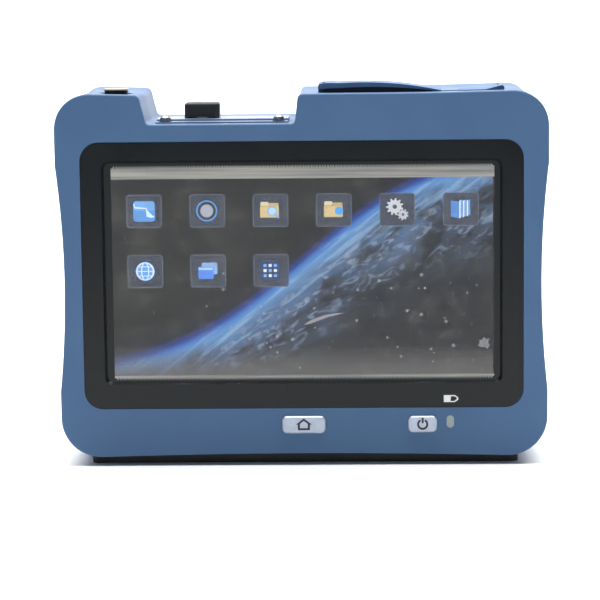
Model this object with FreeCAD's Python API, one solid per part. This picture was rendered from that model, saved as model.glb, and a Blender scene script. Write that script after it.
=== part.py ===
import FreeCAD, Part
import math
import os

# A hand-held optical time domain reflectometer with a seven inch touch screen.
# Millimetres. X runs to the user's right, Y from the screen to the back, Z is up.
# The origin is on the surface under the feet, below the middle of the instrument.

# Display, seen from the front
film_width = 155.3
film_height = 87.8
film_thickness = 0.25
film_shift = 0.3            # the film is laid by hand, a little right of and above the middle
film_tooth_pitch = 1.65     # the film is cut with pinking shears along its top and bottom
film_tooth_height = 0.45
film_side_gap = 3.6         # from the film's edge to the aperture's edge
film_end_gap = 2.025
aperture_radius = 3.0
aperture_slope = 1.0        # the aperture's edge leans in by this much on each side
bezel_side_border = 8.4
bezel_top_border = 7.4
bezel_bottom_border = 9.95
bezel_radius = 7.5
bezel_thickness = 1.5
bezel_sink = 0.4            # how far the bezel's face lies below the case's face
bezel_gap = 0.15
touch_border = 3.0          # how far the touch panel reaches past the aperture
touch_thickness = 1.8
touch_gap = 0.3
foam_thickness = 0.5
foam_width = 4.0
lcd_thickness = 5.8
lcd_corner_radius = 1.5
frame_thickness = 1.5
frame_border = 3.0          # how far the display frame reaches past the screen module
frame_gap = 0.2             # between the frame's rim and the case
seat_thickness = 1.8        # plastic left behind the bezel

# Case
side_margin = 10.35
top_margin = 19.4
bottom_margin = 20.6
case_depth = 62.2
front_depth = 30.0
wall = 2.8
waist_inset = 2.6
lower_inset = 0.3
top_dip = 0.95
bottom_dip = 1.2
top_corner_radius = 14.2
bottom_corner_radius = 16.2
upper_kink_drop = 28.4      # the waist starts this far below the top of the case
lower_kink_rise = 27.6      # and ends this far above the bottom
kink_radius = 9.0
edge_radius = 2.4
back_bevel_depth = 9.0
back_side_inset = 7.0
back_top_inset = 8.0
back_bottom_inset = 2.6
back_bevel_share = 0.45     # share of those insets that is used up before the back bevel
back_edge_depth = 1.6       # a last narrow bevel softens the back edge
back_edge_share = 0.75
rib_count = 4               # stiffening ribs inside each side of the front half
rib_spacing = 22.0
rib_depth = 9.0
rib_thickness = 1.4
run_margin = 2.0            # shortest straight run between a bowed edge and its corner
gasket_width = 1.2
gasket_height = 0.9
gasket_inset = 0.8

# Port bay, a notch through the top of the case
notch_depth = 12.6
notch_from_stylus = 13.2    # from the stylus axis to the left end of the notch floor
notch_to_cover = 8.9        # from the right end of that floor to the socket cover
notch_lean = 13.0           # degrees
notch_floor_radius = 2.0
notch_shoulder_radius = 2.6

# Screws and bosses
boss_radius = 4.2
boss_inset_x = 13.8
boss_inset_z = 12.6
screw_radius = 1.5
screw_head_radius = 2.8
screw_head_height = 2.0
screw_clearance = 0.05
screw_hole_gap = 0.3        # in the back half, where the screws turn freely
screw_socket_share = 0.5    # the head's hexagon socket, across its corners and in depth
screw_socket_depth_share = 0.6
screw_grip = 12.0           # thread length in the front boss
screw_sink = 9.0            # how far the head lies below the back of the case
small_screw_radius = 1.0
small_head_radius = 1.9
small_head_height = 1.2

# Keys and pilot light
key_row_drop = 6.9          # from the bezel's lower edge to the middle of the keys
home_width = 17.7
home_height = 7.2
power_width = 11.75
power_height = 6.8
power_inset = 51.4          # from the right side of the case
key_radius = 2.0
key_edge_chamfer = 0.5
key_proud = 0.9
key_gap = 0.15
key_flange = 1.3
key_flange_thickness = 1.2
key_seat_gap = 0.1
key_travel = 0.8
key_stop_gap = 0.15
key_stem_radius = 1.6
key_stem_length = 1.2
key_collar_wall = 1.2       # of the collar that guides each key inside the case
switch_width = 6.0
switch_height = 3.4
key_board_thickness = 1.2
key_board_height = 13.0
key_board_border = 6.0
lens_spacing = 11.3         # from the middle of the power key
lens_width = 3.0
lens_height = 5.1
lens_end_radius = 1.45
lens_rise = 0.95            # the light's middle is this much above the middle of the keys
lens_flange = 0.5

# Optical port
plate_side_gap = 3.4
plate_front = 7.0
plate_depth = 22.4
plate_thickness = 1.0
plate_step_back = 5.4       # the raised rear part of the plate starts this far behind its front
plate_step_height = 0.8
plate_screw_inset = 7.2     # from each end of the notch floor
plate_screw_radius = 1.25
plate_head_radius = 2.6
plate_head_height = 2.1
plate_head_chamfer = 0.7
plate_screw_length = 7.0    # under the head
plate_screw_gap = 0.2
plate_recess_width = 0.7    # of the cross in the head
plate_recess_depth = 0.9
port_inset = 21.7           # from the left end of the notch floor
port_back = 21.2            # depth of the port's axis behind the case's face
ferrule_radius = 1.25
ferrule_gap = 0.01
sleeve_wall = 0.4
sleeve_length = 11.4
neck_radius = 4.0
neck_height = 4.6
neck_key_width = 2.2
neck_key_depth = 0.9
flange_size = 13.0
flange_thickness = 2.0
barrel_radius = 3.6
barrel_length = 9.0
barrel_gap = 1.2
flange_gap = 0.2
neck_gap = 0.15
neck_key_length = 2.0
adapter_bore_radius = 0.8   # below the sleeve, which rests on the step between the two
cap_width = 14.2
cap_depth = 11.6
cap_height = 6.2
cap_corner = 1.6
cap_rim_radius = 0.95
cap_wall = 1.1
cap_fit = 0.55
cap_seat_gap = 0.15
cap_arch = 0.5
cap_arch_width = 10.2
cap_pin_radius = 0.7
cap_pin_back = 1.7          # from the cap's back to the pin's axis
cap_pin_rise = 1.75
cap_knuckle_radius = 1.35
cap_knuckle_width = 8.0
cap_ear_width = 1.8
pin_gap = 0.05
side_gap = 0.25

# Socket covers in the top face
cover_front = 9.4
cover_depth = 15.4
cover_gap = 0.3
cover_thickness = 2.0       # at the middle of a cover
cover_toe = 0.6             # and at its free end
main_cover_width = 50.1
main_cover_pin_rise = 3.1
main_cover_apex_rise = 4.95
main_cover_tip_rise = 0.9
jack_cover_width = 17.8
jack_cover_inset = 17.6     # from the right side of the case
scoop_width = 7.6           # between the two covers
jack_cover_pin_rise = 1.2
jack_cover_tip_rise = 1.75
jack_cover_apex_rise = 2.15
cover_knuckle_radius = 1.15
cover_knuckle_room = 0.45   # round the case's own knuckle
cover_pin_radius = 0.5
cover_post_width = 7.0      # along Y, the case's own knuckle between the cover's two
scoop_depth = 1.7
scoop_radius = 6.5
scoop_length = 8.9
socket_sink = 1.2           # sockets end this far below the top of the case
socket_gap = 0.3
socket_opening_depth = 7.0
board_gap = 0.4             # between the main board and the edge of the openings
plug_wall = 1.0
plug_end_gap = 2.0          # keeps the plug clear of the cover's knuckles
pin_end_gap = 0.3

# Sockets and boards
board_back = 23.9           # depth of the main board's front face behind the case's face
board_thickness = 1.6
board_side_gap = 20.0
board_bottom_gap = 26.0
board_step_drop = 18.0      # the board ends this far below the port bay's floor
board_step_gap = 4.0        # from the port bay's wall to the board's taller part
board_top_gap = 3.0         # that part ends this far below the tops of the sockets
rj_width = 15.9
rj_depth = 13.4
rj_height = 18.0
rj_mouth_width = 11.9
rj_mouth_depth = 8.2
rj_mouth_height = 12.0
rj_latch_width = 6.4
rj_latch_depth = 1.6
rj_latch_height = 7.0
usb_width = 13.1
usb_depth = 7.0
usb_height = 14.2
usb_wall = 0.5
usb_tongue = 1.9
usb_tongue_sink = 1.0
usb_floor = 2.0
usb_shift = 0.8             # the mouth sits this much nearer the front than the shell
socket_spacing = 1.7
socket_inset = 2.7          # from the left end of the socket cover
dc_width = 9.2
dc_depth = 11.0
dc_height = 14.0
dc_bore_radius = 3.2
dc_bore_depth = 9.5
dc_pin_radius = 1.05
dc_pin_sink = 0.6
dc_shift = 1.3              # the jack sits this far left of the middle of its cover

# Stylus
stylus_inset = 24.2         # from the left side of the case
stylus_back = 16.2
stylus_length = 108.0
stylus_radius = 2.7
stylus_tip_length = 9.0
stylus_tip_radius = 0.8
stylus_head_radius = 3.6
stylus_head_length = 5.0
stylus_head_sink = 0.9
stylus_head_chamfer = 0.7
stylus_gap = 0.25
stylus_sleeve_wall = 1.0
stylus_slot_width = 10.2
stylus_slot_front = 5.6     # the slot reaches this far in front of the stylus axis
stylus_dish_width = 16.4
stylus_dish_depth = 1.2
stylus_dish_front = 11.5    # how far the dish runs in front of the stylus axis
stylus_dish_back = 7.5
stylus_slot_depth = 4.4
stylus_bore_depth = 15.0
stylus_seat_gap = 1.0       # under the head
stylus_tip_gap = 1.0
stylus_floor = 1.0          # thickness of the closed end of the sleeve
stylus_pad_thickness = 1.6  # extra plastic under the dish
stylus_pad_reach = 3.0

# Measuring module and fibre
module_left_gap = 16.0      # from the left edge of the main board
module_right_gap = 13.0     # to the fibre spool
module_height = 34.0
module_depth = 15.0
module_gap = 1.2
module_top_gap = 1.0
module_radius = 2.0
spacer_radius = 2.5
spacer_inset = 5.0
spool_outer_radius = 17.0
spool_hub_radius = 11.0
spool_depth = 7.0
spool_flange = 0.8
spool_bore_radius = 9.0
coil_margin = 2.5           # the coil ends this far inside the spool's rim
spool_inset = 5.0           # from the right edge of the main board

# Battery, its bay and its door
battery_width = 92.0
battery_height = 46.0
battery_depth = 20.0
battery_radius = 3.0
battery_gap = 0.6
bay_wall = 1.6
door_side_border = 9.0
door_end_border = 4.0
door_thickness = 2.4
door_gap = 0.2
door_radius = 4.0
door_bottom = 31.0          # height of the door's lower edge above the surface
door_screw_inset = 4.5
door_screw_grip = 5.0       # thread length behind the door
door_screw_gap = 0.2
grip_count = 7              # grooves for a thumb, near the door's upper edge
grip_spacing = 3.2
grip_width = 1.2
grip_depth = 0.7
grip_length = 8.0
grip_inset = 4.0

# Folding stand
stand_land = 1.4            # the strip of case between the battery door and each leg
stand_leg_width = 10.0
stand_bar_height = 12.0
stand_thickness = 4.4
stand_gap = 0.4
stand_radius = 6.0
stand_inner_radius = 1.0
stand_tip_radius = 0.4
stand_pin_inset = 1.0       # the pin's inner end lies this far inside the leg
stand_bottom = 15.0
stand_pin_height = 94.0
stand_pin_radius = 1.5
stand_pin_reach = 4.5
stand_floor_gap = 0.4
pocket_width = 26.0
pocket_reach = 5.0          # how far the finger pocket reaches below the stand

# Feet and pads
foot_height = 3.3
foot_width = 34.0
foot_depth = 9.0
foot_x = 62.0
foot_radius = 2.0
foot_sink = 1.3
front_foot_back = 11.0
rear_foot_back = 47.0
pad_radius = 5.0
pad_proud = 0.9
pad_sink = 0.9
pad_inset = 24.0

buzzer_radius = 6.0
buzzer_depth = 3.2
buzzer_inset = 38.0         # from the right side of the case
buzzer_rise = 12.0          # above the lower edge of the main board

past = 1.0                  # how far a cutting shape runs past the face that it opens

# Sizes worked out from those above
aperture_width = film_width + 2 * film_side_gap
aperture_height = film_height + 2 * film_end_gap
bezel_width = aperture_width + 2 * bezel_side_border
bezel_height = aperture_height + bezel_top_border + bezel_bottom_border
case_width = bezel_width + 2 * side_margin
case_height = bezel_height + top_margin + bottom_margin
case_bottom = foot_height
case_top = case_bottom + case_height
case_half = case_width / 2
front_y = -(case_depth + pad_proud - key_proud) / 2
parting_y = front_y + front_depth
back_y = front_y + case_depth
bevel_y = back_y - back_bevel_depth
bezel_bottom = case_bottom + bottom_margin
bezel_middle = bezel_bottom + bezel_height / 2
aperture_middle = bezel_bottom + bezel_bottom_border + aperture_height / 2
bezel_face_y = front_y + bezel_sink
bezel_back_y = bezel_face_y + bezel_thickness
touch_back_y = bezel_back_y + touch_thickness
lcd_face_y = touch_back_y + foam_thickness
lcd_back_y = lcd_face_y + lcd_thickness
seat_back_y = bezel_back_y + seat_thickness
touch_width = aperture_width + 2 * touch_border
touch_height = aperture_height + 2 * touch_border
key_row_z = bezel_bottom - key_row_drop
key_stem_y = front_y + wall + key_seat_gap + key_flange_thickness
key_switch_y = key_stem_y + key_stem_length + key_travel + key_stop_gap
key_board_y = key_switch_y + switch_height
notch_floor = case_top - notch_depth
notch_slope = math.tan(math.radians(notch_lean))
top_middle = case_top - top_dip
board_y = front_y + board_back
port_y = front_y + port_back
stylus_y = front_y + stylus_back
cover_y = front_y + cover_front
cover_middle_y = cover_y + cover_depth / 2
plate_y = front_y + plate_front
plate_pad_top = notch_floor + plate_thickness + plate_step_height
plate_screw_seat = notch_floor + plate_thickness
plate_screw_y = plate_y + plate_step_back / 2
stylus_x = -case_half + stylus_inset
jack_cover_right = case_half - jack_cover_inset
jack_cover_left = jack_cover_right - jack_cover_width
main_cover_right = jack_cover_left - scoop_width
main_cover_left = main_cover_right - main_cover_width
notch_left = stylus_x + notch_from_stylus
notch_right = main_cover_left - notch_to_cover
notch_floor_width = notch_right - notch_left
notch_centre_x = (notch_left + notch_right) / 2
port_x = notch_left + port_inset
plate_screw_spread = notch_floor_width - 2 * plate_screw_inset
sockets_left = main_cover_left + socket_inset
dc_x = (jack_cover_left + jack_cover_right) / 2 - dc_shift
power_x = case_half - power_inset
lens_x = power_x + lens_spacing
board_left = -case_half + board_side_gap
board_right = case_half - board_side_gap
spool_x = board_right - spool_inset - spool_outer_radius
socket_top = top_middle - socket_sink
bay_low_y = board_y - rj_depth - socket_gap
dc_middle_y = board_y - dc_depth / 2
board_back_y = board_y + board_thickness
board_step_z = notch_floor - board_step_drop
module_high = board_step_z - module_top_gap
module_left = board_left + module_left_gap
module_right = spool_x - spool_outer_radius - module_right_gap
module_width = module_right - module_left
module_x = (module_left + module_right) / 2
boss_x = case_half - boss_inset_x
boss_low_z = case_bottom + boss_inset_z
boss_high_z = case_top - boss_inset_z
stand_face_y = back_y - stand_thickness - stand_floor_gap
stand_pin_y = stand_face_y + stand_floor_gap + stand_thickness / 2
door_width = battery_width + 2 * (battery_gap + door_side_border)
door_height = battery_height + 2 * (battery_gap + door_end_border)
door_middle = door_bottom + door_height / 2
door_y = back_y - door_thickness
door_head_y = back_y - small_head_height - door_screw_gap
bay_width = battery_width + 2 * battery_gap
bay_height = battery_height + 2 * battery_gap
bay_front_y = door_y - battery_gap - battery_depth - battery_gap
stand_width = door_width + 2 * (stand_land + stand_leg_width)


def vector(x, y, z):
    return FreeCAD.Vector(x, y, z)


def block(x_low, x_high, y_low, y_high, z_low, z_high):
    size = (x_high - x_low, y_high - y_low, z_high - z_low)
    return Part.makeBox(*size, vector(x_low, y_low, z_low))


def rod(radius, start, end):
    return Part.makeCylinder(radius, (end - start).Length, start, end - start)


def ring(outer, inner, start, end):
    return rod(outer, start, end).cut(rod(inner, start, end))


# A closed wire of straight runs joined by tangent arcs, one for each corner.
# Every corner is (x, z, radius), and the wire lies in the plane at y.
def rounded_wire(corners, y):
    starts = []
    ends = []
    middles = []
    for index, (x, z, radius) in enumerate(corners):
        here = vector(x, y, z)
        before = vector(corners[index - 1][0], y, corners[index - 1][1])
        after = vector(corners[(index + 1) % len(corners)][0], y, corners[(index + 1) % len(corners)][1])
        incoming = (here - before).normalize()
        outgoing = (after - here).normalize()
        turn = incoming.getAngle(outgoing)
        reach = radius * math.tan(turn / 2)
        inward = (outgoing - incoming).normalize()
        starts.append(here - incoming * reach)
        ends.append(here + outgoing * reach)
        middles.append(here + inward * (radius / math.cos(turn / 2) - radius))
    edges = []
    for index in range(len(corners)):
        edges.append(Part.Arc(starts[index], middles[index], ends[index]).toShape())
        following = starts[(index + 1) % len(corners)]
        if (following - ends[index]).Length > 0.001:
            edges.append(Part.LineSegment(ends[index], following).toShape())
    return Part.Wire(edges)


def rectangle_wire(width, height, radius, x, z, y):
    left, right = x - width / 2, x + width / 2
    low, high = z - height / 2, z + height / 2
    corners = [(left, high, radius), (right, high, radius), (right, low, radius), (left, low, radius)]
    return rounded_wire(corners, y)


def panel(width, height, radius, x, z, y_low, y_high):
    face = Part.Face(rectangle_wire(width, height, radius, x, z, y_low))
    return face.extrude(vector(0, y_high - y_low, 0))


# The case seen from the front: a waisted side, a dipped top and a dipped underside.
# The insets move each side in, and the drop lowers the port bay's floor with the top.
def case_wire(y, side=0.0, top=0.0, bottom=0.0, notched=True):
    upper = case_half - side
    waist = upper - 2 * waist_inset
    lower = upper - lower_inset
    high = case_top - top
    low = case_bottom + bottom
    corner_high = top_corner_radius - (side + top) / 2
    corner_low = bottom_corner_radius - (side + bottom) / 2
    kink_high = case_top - upper_kink_drop
    kink_low = case_bottom + lower_kink_rise
    waist_middle = (kink_high + kink_low) / 2
    waist_half = (kink_high - kink_low) / 2 - kink_radius / 8
    waist_radius = waist_half ** 2 / (2 * waist_inset)
    belly_half = lower - corner_low - run_margin
    belly_radius = belly_half ** 2 / (2 * bottom_dip)
    right_side = [(upper, high, corner_high), (upper, kink_high, kink_radius),
                  (waist, waist_middle, waist_radius), (lower, kink_low, kink_radius),
                  (lower, low, corner_low)]
    left_side = [(-x, z, radius) for x, z, radius in reversed(right_side)]
    underside = [(0, low + 2 * bottom_dip, belly_radius)]
    crown = high - top_dip
    if not notched:
        brow_half = upper - corner_high - run_margin
        brow = [(0, high - 2 * top_dip, brow_half ** 2 / (2 * top_dip))]
        return rounded_wire(brow + right_side + underside + left_side, y)
    floor_half = notch_floor_width / 2
    mouth_half = floor_half + notch_slope * notch_depth
    brow_x = (notch_centre_x + mouth_half + upper) / 2
    brow_half = (upper - notch_centre_x - mouth_half) / 2 - corner_high
    brow = [(notch_centre_x - mouth_half, crown, notch_shoulder_radius),
            (notch_centre_x - floor_half, notch_floor - top, notch_floor_radius),
            (notch_centre_x + floor_half, notch_floor - top, notch_floor_radius),
            (notch_centre_x + mouth_half, crown, notch_shoulder_radius),
            (brow_x, crown, brow_half / math.tan(math.atan(top_dip / brow_half) / 2) / 2)]
    return rounded_wire(brow + right_side + underside + left_side, y)


def case_prism(y_low, y_high, inset, notched=True):
    face = Part.Face(case_wire(y_low, inset, inset, inset, notched))
    return face.extrude(vector(0, y_high - y_low, 0))


# Height of the case's top face at a place along X, right of the port bay.
def top_height(x):
    return top_middle + top_dip * (x / case_half) ** 2


# The block that the port bay takes out of the inside: the notch and the wall round it.
def bay_block(y_low, y_high, drop_low, drop_high):
    wires = []
    for y, drop in ((y_low, drop_low), (y_high, drop_high)):
        floor = notch_floor - wall - drop
        floor_half = notch_floor_width / 2 + wall
        mouth_half = floor_half + notch_slope * (notch_depth + wall)
        points = [vector(notch_centre_x - mouth_half, y, case_top),
                  vector(notch_centre_x - floor_half, y, floor),
                  vector(notch_centre_x + floor_half, y, floor),
                  vector(notch_centre_x + mouth_half, y, case_top)]
        wires.append(Part.makePolygon(points + points[:1]))
    return Part.makeLoft(wires, True, True)


def edges_in_plane(shape, y):
    return [edge for edge in shape.Edges
            if abs(edge.BoundBox.YMin - y) < 0.01 and abs(edge.BoundBox.YMax - y) < 0.01]


def upright_edges(shape):
    return [edge for edge in shape.Edges if abs(edge.Vertexes[0].Z - edge.Vertexes[-1].Z) > 0.001]


def boss_places():
    return [(x, z) for x in (-boss_x, boss_x) for z in (boss_low_z, boss_high_z)]


def plate_screw_places():
    return [notch_centre_x - plate_screw_spread / 2, notch_centre_x + plate_screw_spread / 2]


def key_list():
    return [(0.0, home_width, home_height), (power_x, power_width, power_height)]


# Socket mouths, left to right: network, then two USB.
def socket_places():
    places = []
    left = sockets_left
    for kind, width, depth, height in (("network", rj_width, rj_depth, rj_height),
                                       ("usb", usb_width, usb_depth, usb_height),
                                       ("usb", usb_width, usb_depth, usb_height)):
        places.append((kind, left, left + width, depth, height))
        left = left + width + socket_spacing
    return places


sockets_right = socket_places()[-1][2]


def front_housing():
    shell = case_prism(front_y, parting_y, 0)
    shell = shell.makeFillet(edge_radius, edges_in_plane(shell, front_y))
    inside = case_prism(front_y + wall, parting_y, wall, notched=False)
    inside = inside.cut(bay_block(front_y, parting_y, 0, 0))
    seat = panel(bezel_width + 2 * wall, bezel_height + 2 * wall, bezel_radius + wall, 0, bezel_middle,
                 front_y, seat_back_y)
    additions = []
    for x, z in boss_places():
        additions.append(rod(boss_radius, vector(x, front_y + wall, z), vector(x, parting_y, z)))
    for x, width, height in key_list():
        border = key_flange + key_collar_wall
        collar = panel(width + 2 * border, height + 2 * border, key_radius + key_collar_wall, x,
                       key_row_z, front_y + wall, front_y + wall + key_flange_thickness + key_travel)
        additions.append(collar)
    additions.append(block(stylus_x - stylus_dish_width / 2, stylus_x + stylus_dish_width / 2, front_y + wall,
                           stylus_y + stylus_head_radius + stylus_pad_reach,
                           top_middle - wall - stylus_pad_thickness, top_middle - wall))
    for side in (-1, 1):
        ends = sorted((side * (bezel_width / 2 + wall / 2), side * (case_half - wall)))
        for index in range(rib_count):
            z = bezel_middle + (index - (rib_count - 1) / 2) * rib_spacing
            additions.append(block(ends[0], ends[1], front_y + wall, front_y + wall + rib_depth,
                                   z - rib_thickness / 2, z + rib_thickness / 2))
    room = inside.common(seat)
    inside = inside.cut(room)
    shell = shell.cut(inside)
    hollow = case_prism(front_y, parting_y, wall / 2, notched=False)
    for piece in additions:
        shell = shell.fuse(piece.common(hollow))
    cuts = []
    cuts.append(panel(bezel_width + 2 * bezel_gap, bezel_height + 2 * bezel_gap, bezel_radius + bezel_gap,
                      0, bezel_middle, front_y - past, bezel_back_y))
    cuts.append(panel(touch_width + 2 * touch_gap, touch_height + 2 * touch_gap, lcd_corner_radius,
                      0, aperture_middle, bezel_back_y - past, seat_back_y + past))
    for x, z in boss_places():
        cuts.append(rod(screw_radius + screw_clearance, vector(x, parting_y - screw_grip - past, z),
                        vector(x, parting_y + past, z)))
    for x, width, height in key_list():
        border = key_flange + key_gap
        collar_back = front_y + wall + key_flange_thickness + key_travel + past
        cuts.append(panel(width + 2 * key_gap, height + 2 * key_gap, key_radius + key_gap, x, key_row_z,
                          front_y - past, collar_back))
        cuts.append(panel(width + 2 * border, height + 2 * border, key_radius, x, key_row_z,
                          front_y + wall, collar_back))
    cuts.append(panel(lens_width, lens_height, lens_end_radius, lens_x, key_row_z + lens_rise,
                      front_y - past, front_y + wall + past))
    opening_low = top_middle - socket_opening_depth
    opening_back = board_y + board_gap
    cuts.append(block(sockets_left - socket_gap, sockets_right + socket_gap, bay_low_y, opening_back,
                      opening_low, case_top + past))
    cuts.append(block(dc_x - dc_width / 2 - socket_gap, dc_x + dc_width / 2 + socket_gap,
                      board_y - dc_depth - socket_gap, opening_back, opening_low, case_top + past))
    cuts += stylus_cuts()
    cuts.append(scoop())
    cuts += [rod(cover_knuckle_radius + cover_gap, vector(x, cover_y - cover_gap, z),
                 vector(x, cover_y + cover_depth + cover_gap, z)) for x, z in cover_axes()]
    for x in plate_screw_places():
        cuts.append(rod(plate_screw_radius + screw_clearance,
                        vector(x, plate_screw_y, plate_screw_seat - plate_screw_length - past),
                        vector(x, plate_screw_y, notch_floor + past)))
    cuts.append(rod(barrel_radius + barrel_gap, vector(port_x, port_y, notch_floor - wall - past),
                    vector(port_x, port_y, notch_floor + past)))
    flange_half = flange_size / 2 + flange_gap
    cuts.append(block(port_x - flange_half, port_x + flange_half, port_y - flange_half, port_y + flange_half,
                      notch_floor - flange_thickness, notch_floor + past))
    cuts += foot_blocks(front_foot_back)
    shell = shell.cut(cuts)
    for x, z in cover_axes():
        shell = shell.fuse(cover_post(x, z))
    for x, z in cover_axes():
        shell = shell.cut(rod(cover_pin_radius, vector(x, cover_y - past, z),
                              vector(x, cover_y + cover_depth + past, z)))
    return shell.removeSplitter()


# A dished slot, so that a fingernail can reach in front of the stylus head.
def stylus_cuts():
    top = case_top + past
    low = top_middle - stylus_slot_depth
    slot = rod(stylus_slot_width / 2, vector(stylus_x, stylus_y, low), vector(stylus_x, stylus_y, top))
    slot = slot.fuse(block(stylus_x - stylus_slot_width / 2, stylus_x + stylus_slot_width / 2,
                           stylus_y - stylus_slot_front, stylus_y, low, top))
    bore = rod(stylus_radius + stylus_gap + stylus_sleeve_wall,
               vector(stylus_x, stylus_y, top_middle - stylus_bore_depth), vector(stylus_x, stylus_y, top))
    dish_radius = (stylus_dish_width ** 2 / 4 + stylus_dish_depth ** 2) / (2 * stylus_dish_depth)
    dish_z = top_height(stylus_x) + dish_radius - stylus_dish_depth
    dish = rod(dish_radius, vector(stylus_x, stylus_y - stylus_dish_front, dish_z),
               vector(stylus_x, stylus_y + stylus_dish_back, dish_z))
    return [slot, bore, dish]


# The finger scoop between the two covers.
def scoop():
    x = (main_cover_right + jack_cover_left) / 2
    z = top_height(x) + scoop_radius - scoop_depth
    return rod(scoop_radius, vector(x, cover_middle_y - scoop_length / 2, z),
               vector(x, cover_middle_y + scoop_length / 2, z))


# Pin axes of the two socket covers, as (x, z).
def cover_axes():
    return [(main_cover_left + cover_knuckle_radius, top_height(main_cover_left) + main_cover_pin_rise),
            (jack_cover_right - cover_knuckle_radius, top_height(jack_cover_right) + jack_cover_pin_rise)]


# The case's own knuckle, standing between the two knuckles of a cover.
def cover_post(x, z):
    y_low = cover_middle_y - cover_post_width / 2
    y_high = cover_middle_y + cover_post_width / 2
    neck = block(x - cover_knuckle_radius, x + cover_knuckle_radius, y_low, y_high, top_middle - wall / 2, z)
    return neck.fuse(rod(cover_knuckle_radius, vector(x, y_low, z), vector(x, y_high, z)))


def foot_blocks(back):
    blocks = []
    for x in (-foot_x, foot_x):
        y = front_y + back
        share = max(0.0, (y - parting_y) / (bevel_y - parting_y)) * back_bevel_share
        belly = bottom_dip * (1 - (foot_x / case_half) ** 2)
        seat = case_bottom + share * back_bottom_inset + belly + foot_sink
        foot = block(x - foot_width / 2, x + foot_width / 2, y - foot_depth / 2, y + foot_depth / 2, 0, seat)
        blocks.append(foot.makeFillet(foot_radius, upright_edges(foot)))
    return blocks


def back_insets(share):
    return back_side_inset * share, back_top_inset * share, back_bottom_inset * share


# The back half of the case, tapered to a bevel round the back, grown inwards by an inset.
def back_form(inset, notched):
    stations = [(parting_y, 0.0), (bevel_y, back_bevel_share), (back_y - inset, 1.0)]
    if inset == 0:
        stations.insert(2, (back_y - back_edge_depth, back_edge_share))
    sections = []
    for y, share in stations:
        side, top, bottom = back_insets(share)
        sections.append(case_wire(y, side + inset, top + inset, bottom + inset, notched))
    return Part.makeLoft(sections, True, True)


# The folding stand seen from behind, a U that ends a little above its pins, grown by a gap.
def stand_wire_corners(gap, above_pin):
    outer = stand_width / 2 + gap
    inner = stand_width / 2 - stand_leg_width - gap
    low = stand_bottom - gap
    bar = stand_bottom + stand_bar_height + gap
    high = stand_pin_height + above_pin
    corner = stand_radius + gap
    inner_corner = max(stand_inner_radius - gap, stand_inner_radius / 2)
    tip = stand_tip_radius
    return [(-outer, high, tip), (-inner, high, tip), (-inner, bar, inner_corner), (inner, bar, inner_corner),
            (inner, high, tip), (outer, high, tip), (outer, low, corner), (-outer, low, corner)]


def stand_form(gap, above_pin, y_low, y_high):
    face = Part.Face(rounded_wire(stand_wire_corners(gap, above_pin), y_low))
    return face.extrude(vector(0, y_high - y_low, 0))


def door_screw_places():
    x = door_width / 2 - door_screw_inset
    z = door_height / 2 - door_screw_inset
    return [(side * x, door_middle + end * z) for side in (-1, 1) for end in (-1, 1)]


def rear_housing():
    shell = back_form(0, True)
    inside = back_form(wall, False)
    inside = inside.cut(bay_block(parting_y - past, back_y, 0, back_top_inset))
    shell = shell.cut(inside)
    hollow = back_form(wall / 2, False)
    additions = []
    for x, z in boss_places():
        additions.append(rod(boss_radius, vector(x, parting_y, z), vector(x, back_y, z)))
    stand_head = stand_thickness / 2 + stand_gap
    additions.append(stand_form(stand_gap + bay_wall, stand_head + bay_wall, stand_face_y - bay_wall, back_y))
    additions.append(panel(door_width + 2 * bay_wall, door_height + 2 * bay_wall, door_radius + bay_wall, 0,
                           door_middle, door_y - bay_wall, back_y))
    additions.append(panel(bay_width + 2 * bay_wall, bay_height + 2 * bay_wall, battery_radius + bay_wall, 0,
                           door_middle, bay_front_y - bay_wall, back_y))
    for x, z in door_screw_places():
        post_end = door_y - door_screw_grip - past - bay_wall
        additions.append(rod(small_screw_radius + bay_wall, vector(x, post_end, z), vector(x, door_y, z)))
    for side in (-1, 1):
        pin_x = side * (stand_width / 2 + stand_gap)
        end_x = pin_x + side * (stand_pin_reach + bay_wall)
        additions.append(rod(stand_pin_radius + bay_wall, vector(pin_x, stand_pin_y, stand_pin_height),
                             vector(end_x, stand_pin_y, stand_pin_height)))
    additions.append(finger_pocket(bay_wall, back_y))
    for piece in additions:
        shell = shell.fuse(piece.common(hollow))
    cuts = [stand_form(stand_gap, stand_head, stand_face_y, back_y + past)]
    cuts.append(panel(door_width + 2 * door_gap, door_height + 2 * door_gap, door_radius + door_gap, 0,
                      door_middle, door_y, back_y + past))
    cuts.append(panel(bay_width, bay_height, battery_radius, 0, door_middle, bay_front_y, back_y + past))
    for x, z in door_screw_places():
        cuts.append(rod(small_screw_radius + screw_clearance, vector(x, door_y - door_screw_grip - past, z),
                        vector(x, door_y + past, z)))
    for x, z in boss_places():
        cuts.append(rod(screw_head_radius + screw_hole_gap, vector(x, back_y - screw_sink, z),
                        vector(x, back_y + past, z)))
        cuts.append(rod(screw_radius + screw_hole_gap, vector(x, parting_y - past, z), vector(x, back_y, z)))
    cuts.append(gasket_ring())
    cuts += foot_blocks(rear_foot_back)
    for x, z in pad_places():
        cuts.append(rod(pad_radius, vector(x, back_y - pad_sink, z), vector(x, back_y + 1, z)))
    reach = stand_width / 2 + stand_gap + stand_pin_reach
    cuts.append(rod(stand_pin_radius, vector(-reach, stand_pin_y, stand_pin_height),
                    vector(reach, stand_pin_y, stand_pin_height)))
    cuts.append(finger_pocket(0.0, back_y + past))
    return shell.cut(cuts).removeSplitter()


# A fingertip reaches under the stand's bar here to fold it out.
def finger_pocket(grow, y_high):
    return block(-pocket_width / 2 - grow, pocket_width / 2 + grow, stand_face_y - grow, y_high,
                 stand_bottom - pocket_reach - grow, stand_bottom + grow)


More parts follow.
